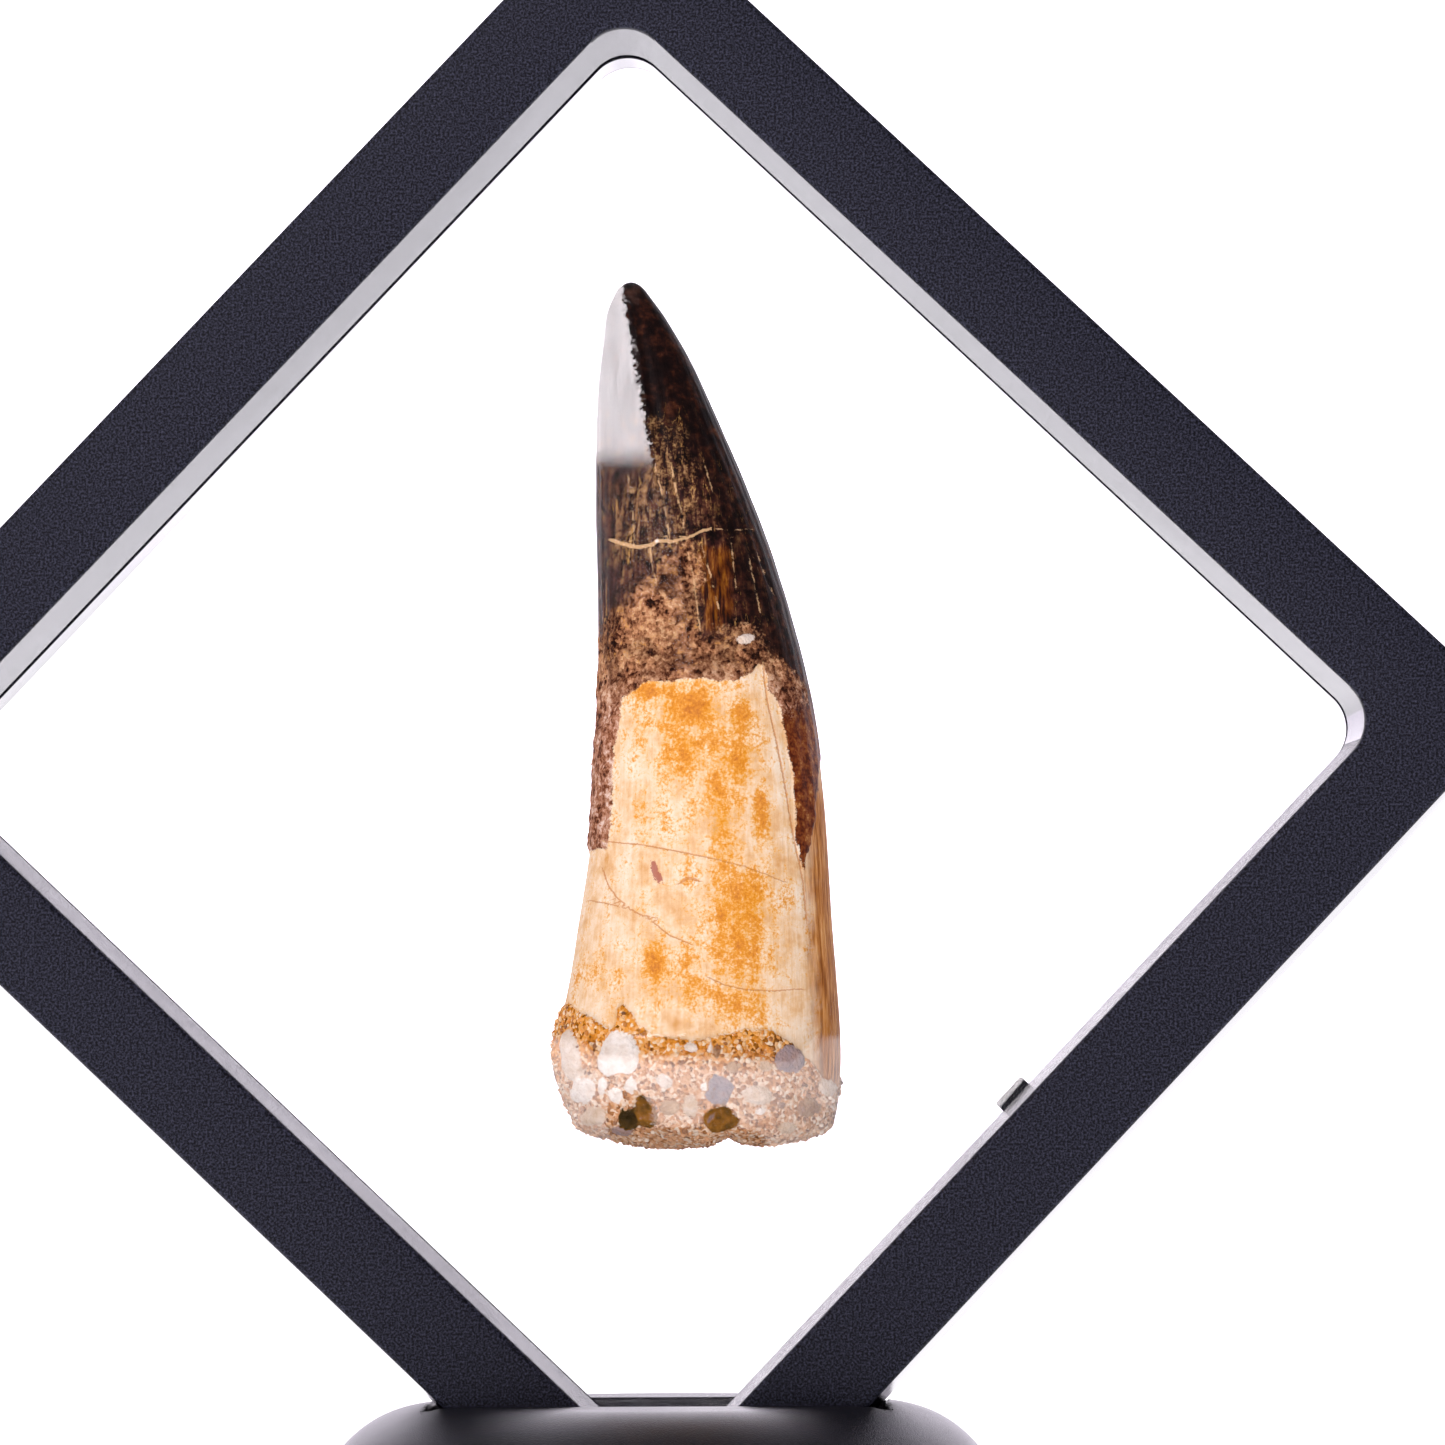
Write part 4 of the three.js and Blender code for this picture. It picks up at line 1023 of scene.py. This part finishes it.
def polish(made, upper, lower, dull):
    """The case's inner walls came from a smooth mould. Upper inner walls and lower outer sides mirror more than the
    plastic does, painted sheen; the lower inner walls mirror less, and the rear rim and the tab stay dull black with no
    mirror at all, painted shade.
    """
    for material in (upper, lower, dull):
        made.data.materials.append(material)
    for face in made.data.polygons:
        x, depth, height = face.center / MM
        x -= CASE_SHIFT
        height -= CASE_HEIGHT
        a = abs(x * math.cos(CASE_TURN) - height * math.sin(CASE_TURN))
        b = abs(x * math.sin(CASE_TURN) + height * math.cos(CASE_TURN))
        on_wall = max(a, b) < OPENING_HALF + INNER_DRAFT + 0.1 and len(face.vertices) == 4
        if on_wall and abs(face.normal.y) < 0.3 and 4.0 < abs(depth) < 9.2 and face.area > 3e-7:
            # Upper walls take the copy that mirrors more, painted sheen; lower walls the one that mirrors less, painted
            # shade
            face.material_index = 1 if height > 0 else 2
        on_tab = max(a, b) < OPENING_HALF + 0.3 and min(a, b) < 1.8 and 1.1 < depth < 3.5
        # The rear rim and the tab take the copy that mirrors nothing: painted shade
        if on_tab or (on_wall and depth > 9.2):
            face.material_index = 3
        # The lower outer sides take the copy that mirrors more: painted sheen
        if abs(max(a, b) - 54.6) < 0.45 and abs(face.normal.y) < 0.3 and height < 0 and abs(depth) < 9.5:
            face.material_index = 1


def outward(mesh):
    """Turns every face of closed shells outwards."""
    work = bmesh.new()
    work.from_mesh(mesh)
    bmesh.ops.remove_doubles(work, verts=work.verts, dist=1e-7)
    bmesh.ops.recalc_face_normals(work, faces=work.faces)
    work.to_mesh(mesh)
    work.free()


def latch_tab():
    """Small bevelled tab in the middle of the lower right side, behind the joint."""
    work = bmesh.new()
    bmesh.ops.create_cube(work, size=1.0)
    bmesh.ops.scale(work, vec=(1.95, 2.0, 3.3), verts=work.verts)
    bmesh.ops.bevel(work, geom=work.edges[:], offset=0.22, segments=3, profile=0.5, affect="EDGES")
    bmesh.ops.translate(work, vec=(OPENING_HALF - 0.95 + 0.975, 2.3, 0), verts=work.verts)
    points = np.array([v.co[:] for v in work.verts])
    faces = [[v.index for v in f.verts] for f in work.faces]
    work.free()
    x, z = to_upright(points[:, 0], points[:, 2])
    return np.stack([x, points[:, 1], z], axis=1), faces


def film_lines():
    """Numbers of the fine steps that the film's grid lines lie on."""
    outer = list(range(FILM_FINE_STEPS + FILM_COARSE, FILM_STEPS + 1, FILM_COARSE))
    return np.array([-n for n in reversed(outer)] + list(range(-FILM_FINE_STEPS, FILM_FINE_STEPS + 1)) + outer)


def film_floor(x, height, side):
    """Lowest place for the film over the tooth, 0 beside it."""
    body = np.clip(height, 0, TOOTH_BODY)
    shrink = np.sqrt(np.clip(1 - (height - body) / (TOOTH_TIP - TOOTH_BODY), 0, 1))
    half = tooth_half_width(body) * shrink + 1e-6
    reach = (x - tooth_middle(body)) / half
    round_part = np.clip(1 - np.abs(reach) ** TOOTH_ROUNDNESS, 0, 1) ** (1 / TOOTH_ROUNDNESS)
    rise = tooth_half_depth(body) * shrink * round_part
    room = np.interp(height, [0, 9, 13, 38, 41, 50, 54, 77], [0.75, 0.62, 0.12, 0.12, 0.34, 0.34, 0.16, 0.14])
    off = (reach - RIDGE_PLACE * -side) * half
    ridge = RIDGE_RISE * np.exp(-(off / RIDGE_WIDTH) ** 2) * smooth_step(RIDGE_BOTTOM, RIDGE_BOTTOM + 6, height)
    on_tooth = (np.abs(reach) < 1) & (height > 0) & (height < TOOTH_TIP)
    return np.where(on_tooth, rise + room + ridge, 0)


def relaxed(floor):
    """The film at rest: each point at the mean of its neighbours, but never below the floor."""
    rise = floor.copy()
    size = len(floor)
    rows, columns = np.indices((size, size))
    edge = (rows == 0) | (columns == 0) | (rows == size - 1) | (columns == size - 1)
    pull = 2 / (1 + math.sin(math.pi / (size - 1)))
    turns = [((rows + columns) % 2 == n) & ~edge for n in (0, 1)]
    for _ in range(FILM_ROUNDS):
        for chosen in turns:
            mean = (np.roll(rise, 1, 0) + np.roll(rise, -1, 0) + np.roll(rise, 1, 1) + np.roll(rise, -1, 1)) / 4
            rise = np.where(chosen, np.maximum(rise + pull * (mean - rise), floor), rise)
    for _ in range(2):
        mean = (np.roll(rise, 1, 0) + np.roll(rise, -1, 0) + np.roll(rise, 1, 1) + np.roll(rise, -1, 1)) / 4
        rise = np.where(edge, rise, (rise + mean) / 2)
    return rise


def build_film(side, material):
    """One closed sheet of film, tented over its side of the tooth."""
    step = OPENING_HALF / FILM_STEPS
    every = np.arange(-FILM_STEPS, FILM_STEPS + 1) * step
    a, b = np.meshgrid(every, every, indexing="ij")
    x, height = to_upright(a, b)
    x = x - CASE_SHIFT
    height = height - TOOTH_FOOT
    floor = film_floor(x, height, side)
    rise = relaxed(floor)
    slope_a, slope_b = np.gradient(rise, step)
    chosen = film_lines() + FILM_STEPS
    picked = np.ix_(chosen, chosen)
    a, b, rise, slope_a, slope_b = (np.pad(grid[picked], 1, mode="edge") for grid in (a, b, rise, slope_a, slope_b))
    for line, rim in ((0, -FILM_RIM), (-1, FILM_RIM)):
        a[line, :] = rim
        b[:, line] = rim
    for grid in (slope_a, slope_b):
        grid[0, :] = grid[-1, :] = grid[:, 0] = grid[:, -1] = 0
    size = len(a)
    length = np.sqrt(1 + slope_a ** 2 + slope_b ** 2)
    inner = np.stack([a, FILM_PLANE + rise, b], axis=2).reshape(-1, 3)
    way = np.stack([-slope_a / length, 1 / length, -slope_b / length], axis=2).reshape(-1, 3)
    points = np.concatenate([inner, inner + FILM_THICKNESS * way])
    x, height = to_upright(points[:, 0], points[:, 2])
    points = np.stack([x, side * points[:, 1], height], axis=1)
    row, column = np.indices((size - 1, size - 1))
    first = (row * size + column).reshape(-1)
    quads = np.stack([first, first + size, first + size + 1, first + 1], axis=1)
    faces = quads.tolist() + (quads[:, ::-1] + size * size).tolist()
    border = [n for n in range(size - 1)] + [n * size + size - 1 for n in range(size - 1)]
    border += [size * size - 1 - n for n in range(size - 1)] + [(size - 1 - n) * size for n in range(size - 1)]
    for start, end in zip(border, border[1:] + border[:1]):
        faces.append([start, end, end + size * size, start + size * size])
    name, node = ("film_front", "front_film") if side < 0 else ("film_rear", "rear_film")
    made = new_piece(name, points, faces, material, node, smooth=60)
    outward(made.data)
    x = points[:, 0] - CASE_SHIFT
    height = points[:, 2] - TOOTH_FOOT
    body = np.clip(height, 0, TOOTH_BODY)
    reach = (x - tooth_middle(body)) / tooth_half_width(body)
    # Near the tip the film clings to the enamel on the far side of the ridge, and lower down it lies dull
    off = (reach * -side - RIDGE_PLACE) * tooth_half_width(body)
    beyond = (np.abs(reach) - 1) * tooth_half_width(body)
    beside = (beyond > 0.9) | (height > TOOTH_TIP + 1.2)
    cling = np.where(beside | (height < 58), -1.0, np.clip(off + 0.4, -1, 1))
    dull = 0.97 * smooth_step(62.3, 59.6, height) * smooth_step(9.2, 9.9, height) * smooth_step(1.25, 1.0, np.abs(reach))
    if side < 0:
        # Two places where the film touches the stone
        for cx, cy, half_x, half_y in ((-1.3, 2.6, 2.1, 2.6), (6.6, 1.9, 1.7, 1.7)):
            touch = (1 - np.hypot((x - cx) / half_x, (height - cy) / half_y)) * min(half_x, half_y)
            cling = np.maximum(cling, np.clip(touch * 1.4, -1, 1))
    if len(made.data.vertices) != len(cling):
        raise RuntimeError("the film lost points when its faces were turned")
    store(made.data, "cling", cling)
    store(made.data, "dull", dull)
    return made


class FOSSIL_OT_case(bpy.types.Operator):
    """Makes the two halves of the square case"""

    bl_idname = "fossil.make_case"
    bl_label = "Make case"

    def execute(self, context):
        settings = context.scene.fossil_case
        # Spark-eroded grain of about 0.18 mm
        plastic = plastic_material("black ABS, spark-eroded", list(settings.colour), 0.38, 0.0002, 0.00007, 15.0, 0.06)
        # Copies of the same plastic that differ only in how much they mirror: painted sheen on the upper walls, painted
        # shade on the lower walls, rear rim and tab
        smooth = plastic_material("black ABS, upper wall, painted sheen", list(settings.colour), 0.12, 0.00015, 0.000001, 2.0, 1.0, 1.8)
        shaded_lower_wall = plastic_material("black ABS, lower wall, painted shade", list(settings.colour), 0.24, 0.00015, 0.0000004, 4.0, 0.5, 1.13)
        dull = plastic_material("black ABS, rim and tab, painted shade", list(settings.colour), 0.6, 0.0002, 0.00002, 3.0, 0.0, 1.0)
        points, faces = case_half(settings, -1, True)
        front = new_piece("case_front", points, faces, plastic, "front_frame", smooth=28)
        outward(front.data)
        polish(front, smooth, shaded_lower_wall, dull)
        points, faces = case_half(settings, 1, False)
        tab_points, tab_faces = latch_tab()
        faces = faces + [[n + len(points) for n in face] for face in tab_faces]
        points = np.concatenate([points, tab_points])
        rear = new_piece("case_rear", points, faces, plastic, "rear_frame", smooth=28)
        outward(rear.data)
        polish(rear, smooth, shaded_lower_wall, dull)
        return {"FINISHED"}


class FOSSIL_OT_stand(bpy.types.Operator):
    """Makes the round base with its slot"""

    bl_idname = "fossil.make_stand"
    bl_label = "Make stand"

    def execute(self, context):
        settings = context.scene.fossil_stand
        # Finer grain than the case, about 0.12 mm
        plastic = plastic_material("black ABS, fine grain", list(settings.colour), 0.34, 0.00014, 0.00005, 7.0, 0.45)
        empty = bpy.data.meshes.new("start")
        mesh = grown(empty, base_tree(), {
            "Radius": settings.radius, "Height": settings.height, "Shoulder": settings.shoulder,
            "Foot bevel": 0.0008, "Slot length": settings.slot_length, "Slot width": settings.slot_width,
            "Slot floor": settings.slot_floor, "Finish": plastic,
        })
        work = bmesh.new()
        work.from_mesh(mesh)
        bmesh.ops.remove_doubles(work, verts=work.verts, dist=1e-6)
        half_length = settings.slot_length / 2
        half_width = settings.slot_width / 2
        sharp = []
        for edge in work.edges:
            middle = (edge.verts[0].co + edge.verts[1].co) / 2
            on_slot = abs(abs(middle.x) - half_length) < 1e-5 or abs(abs(middle.y) - half_width) < 1e-5
            above = middle.z > settings.slot_floor + 0.001
            upright = abs(edge.verts[0].co.z - edge.verts[1].co.z) > 0.004
            if on_slot and above and not upright and edge.calc_face_angle(0) > 0.6:
                sharp.append(edge)
        if not sharp:
            raise RuntimeError("the slot's rim wasn't found")
        bmesh.ops.bevel(work, geom=sharp, offset=0.00045, segments=4, profile=0.5, affect="EDGES")
        work.to_mesh(mesh)
        work.free()
        place_piece("stand_base", mesh, plastic, "stand", smooth=35)
        return {"FINISHED"}


class FOSSIL_OT_tooth(bpy.types.Operator):
    """Makes the tooth, with the stone grown onto its foot, and the sand on the stone"""

    bl_idname = "fossil.make_tooth"
    bl_label = "Make tooth"

    def execute(self, context):
        settings = context.scene.fossil_tooth
        points, normals, rings = tooth_grid()
        fields = tooth_fields(points)
        points_out = points + normals * tooth_relief(points, fields)[:, None]
        points_out[:, 2] += foot_shape(points)
        foot = points_out[:TOOTH_SIDES].mean(axis=0)
        tip = points_out[-TOOTH_SIDES:].mean(axis=0) + np.array([-0.02, 0, 0.02])
        points_out = np.concatenate([points_out, [foot, tip]])
        points_out[:, 2] = np.clip(points_out[:, 2], 0.02, TOOTH_TIP)
        placed = points_out + np.array([CASE_SHIFT, 0, TOOTH_FOOT])
        tooth = new_piece(
            "tooth_fossil", placed, ring_faces(rings, TOOTH_SIDES), fossil_material(), "tooth", smooth=180,
        )
        for name, values in fields.items():
            if name != "pebble_rise":
                store(tooth.data, name, np.append(values, [values[0], values[-1]]))
        bare = smooth_step(0.05, 0.4, fields["stone"]) * smooth_step(0.05, -0.15, fields["pebble"])
        store(tooth.data, "grain_share", np.append(bare, [0, 0]))
        sand = grown(tooth.data, scatter_tree(), {
            "Grain": settings.grain, "Density": settings.density, "Seed": settings.seed, "Finish": sand_material(),
        })
        place_piece("stone_sand", sand, bpy.data.materials["cemented quartz sand"], None, smooth=20)
        return {"FINISHED"}


class FOSSIL_OT_films(bpy.types.Operator):
    """Makes the two stretched films"""

    bl_idname = "fossil.make_films"
    bl_label = "Make films"

    def execute(self, context):
        material = film_material(context.scene.fossil_film)
        for side in (-1, 1):
            build_film(side, material)
        return {"FINISHED"}


def area_light(name, place, target, width, height, radiance, colour):
    """Soft light of an even radiance, not seen by the camera."""
    data = bpy.data.lights.new(name, "AREA")
    data.shape = "RECTANGLE"
    data.size = width
    data.size_y = height
    data.energy = radiance * math.pi * width * height
    data.color = colour
    lamp = bpy.data.objects.new(name, data)
    bpy.context.scene.collection.objects.link(lamp)
    lamp.location = place
    lamp.rotation_mode = "QUATERNION"
    lamp.rotation_quaternion = (Vector(target) - Vector(place)).to_track_quat("-Z", "Y")
    lamp.visible_camera = False
    return lamp


class FOSSIL_OT_stage(bpy.types.Operator):
    """Makes the floor, the soft lights and the camera"""

    bl_idname = "fossil.make_stage"
    bl_label = "Make stage"

    def execute(self, context):
        settings = context.scene.fossil_stage
        scene = context.scene
        scene.view_settings.view_transform = "Standard"
        white, tree, out = new_material("white floor")
        paint = add(tree, "ShaderNodeBsdfPrincipled", {
            "Base Color": (0.9, 0.9, 0.9, 1), "Roughness": 0.9, "Emission Color": (1, 1, 1, 1),
            "Emission Strength": settings.glow,
        })
        tree.links.new(paint.outputs[0], out.inputs[0])
        mesh = bpy.data.meshes.new("floor")
        half = 6.0
        mesh.from_pydata([(-half, -half, 0), (half, -half, 0), (half, half, 0), (-half, half, 0)], [], [(0, 1, 2, 3)])
        mesh.materials.append(white)
        floor = bpy.data.objects.new("floor", mesh)
        scene.collection.objects.link(floor)

        world = bpy.data.worlds.new("white backdrop")
        world.use_nodes = True
        scene.world = world
        tree = world.node_tree
        tree.nodes.clear()
        way = add(tree, "ShaderNodeSeparateXYZ", {0: add(tree, "ShaderNodeTexCoord").outputs["Generated"]}).outputs
        # White wall behind, dark room behind the camera
        share = add(tree, "ShaderNodeMapRange", {"Value": way["Y"], "From Min": -1.0}).outputs[0]
        light = add(tree, "ShaderNodeValToRGB", {"Fac": share}, ramp=[
            (0.0, 0.02), (0.15, 0.03), (0.35, 0.12), (0.6, 0.2), (0.77, 0.3), (0.86, 1.0),
        ]).outputs[0]
        tint = add(tree, "ShaderNodeMix", {0: 1.0, 6: light, 7: (1.0, 0.935, 1.05, 1.0)}, data_type="RGBA", blend_type="MULTIPLY")
        sky = add(tree, "ShaderNodeBackground", {"Color": tint.outputs[2], "Strength": settings.backdrop})
        add(tree, "ShaderNodeOutputWorld", {0: sky.outputs[0]})

        # The left light stands where the film at the tip mirrors it towards the camera
        tip = Vector((0.0, -0.005, 0.112))
        turn = math.radians(-20.5)
        rise = math.radians(27)
        way = Vector((math.sin(turn) * math.cos(rise), -math.cos(turn) * math.cos(rise), math.sin(rise)))
        area_light("soft light left", tip + 0.9 * way, tip, 0.466, 0.42, settings.key, (1.03, 0.96, 1.0))
        area_light("bright table", (0, -0.31, 0.003), (0, -0.31, 1.0), 1.2, 0.5, settings.low, (1.0, 0.96, 1.0))
        area_light("soft light top", (-0.45, -0.45, 0.75), (0, 0, 0.09), 0.5, 0.5, settings.top, (1.0, 0.99, 0.98))

        lens = bpy.data.cameras.new("camera")
        lens.sensor_width = 36
        lens.lens = 5800 / 1445 * 36
        lens.clip_start = 0.01
        lens.clip_end = 100
        camera = bpy.data.objects.new("camera", lens)
        scene.collection.objects.link(camera)
        right = Vector((0.99979, 0.01983, -0.00469))
        up = Vector((0.00619, -0.07611, 0.99708))
        ahead = Vector((-0.01941, 0.9969, 0.07622))
        turn = Matrix((right, up, -ahead)).transposed()
        camera.matrix_world = Matrix.Translation(Vector((15.87, -515.31, 41.76)) * MM) @ turn.to_4x4()
        scene.camera = camera
        return {"FINISHED"}


class FOSSIL_PT_panel(bpy.types.Panel):
    """Lists the steps and their settings"""

    bl_label = "Framed fossil tooth"
    bl_space_type = "VIEW_3D"
    bl_region_type = "UI"
    bl_category = "Fossil"

    def draw(self, context):
        for attribute, settings, operator in STEPS:
            box = self.layout.box()
            box.operator(operator.bl_idname)
            for name in settings.__annotations__:
                box.prop(getattr(context.scene, attribute), name)


STEPS = (
    ("fossil_case", CaseSettings, FOSSIL_OT_case),
    ("fossil_stand", StandSettings, FOSSIL_OT_stand),
    ("fossil_tooth", ToothSettings, FOSSIL_OT_tooth),
    ("fossil_film", FilmSettings, FOSSIL_OT_films),
    ("fossil_stage", StageSettings, FOSSIL_OT_stage),
)


def register():
    for attribute, settings, operator in STEPS:
        bpy.utils.register_class(settings)
        bpy.utils.register_class(operator)
        setattr(bpy.types.Scene, attribute, PointerProperty(type=settings))
    bpy.utils.register_class(FOSSIL_PT_panel)


def unregister():
    bpy.utils.unregister_class(FOSSIL_PT_panel)
    for attribute, settings, operator in reversed(STEPS):
        delattr(bpy.types.Scene, attribute)
        bpy.utils.unregister_class(operator)
        bpy.utils.unregister_class(settings)


def main():
    register()
    bpy.ops.fossil.make_case()
    bpy.ops.fossil.make_stand()
    bpy.ops.fossil.make_tooth()
    bpy.ops.fossil.make_films()
    bpy.ops.fossil.make_stage()


if __name__ == "__main__":
    main()
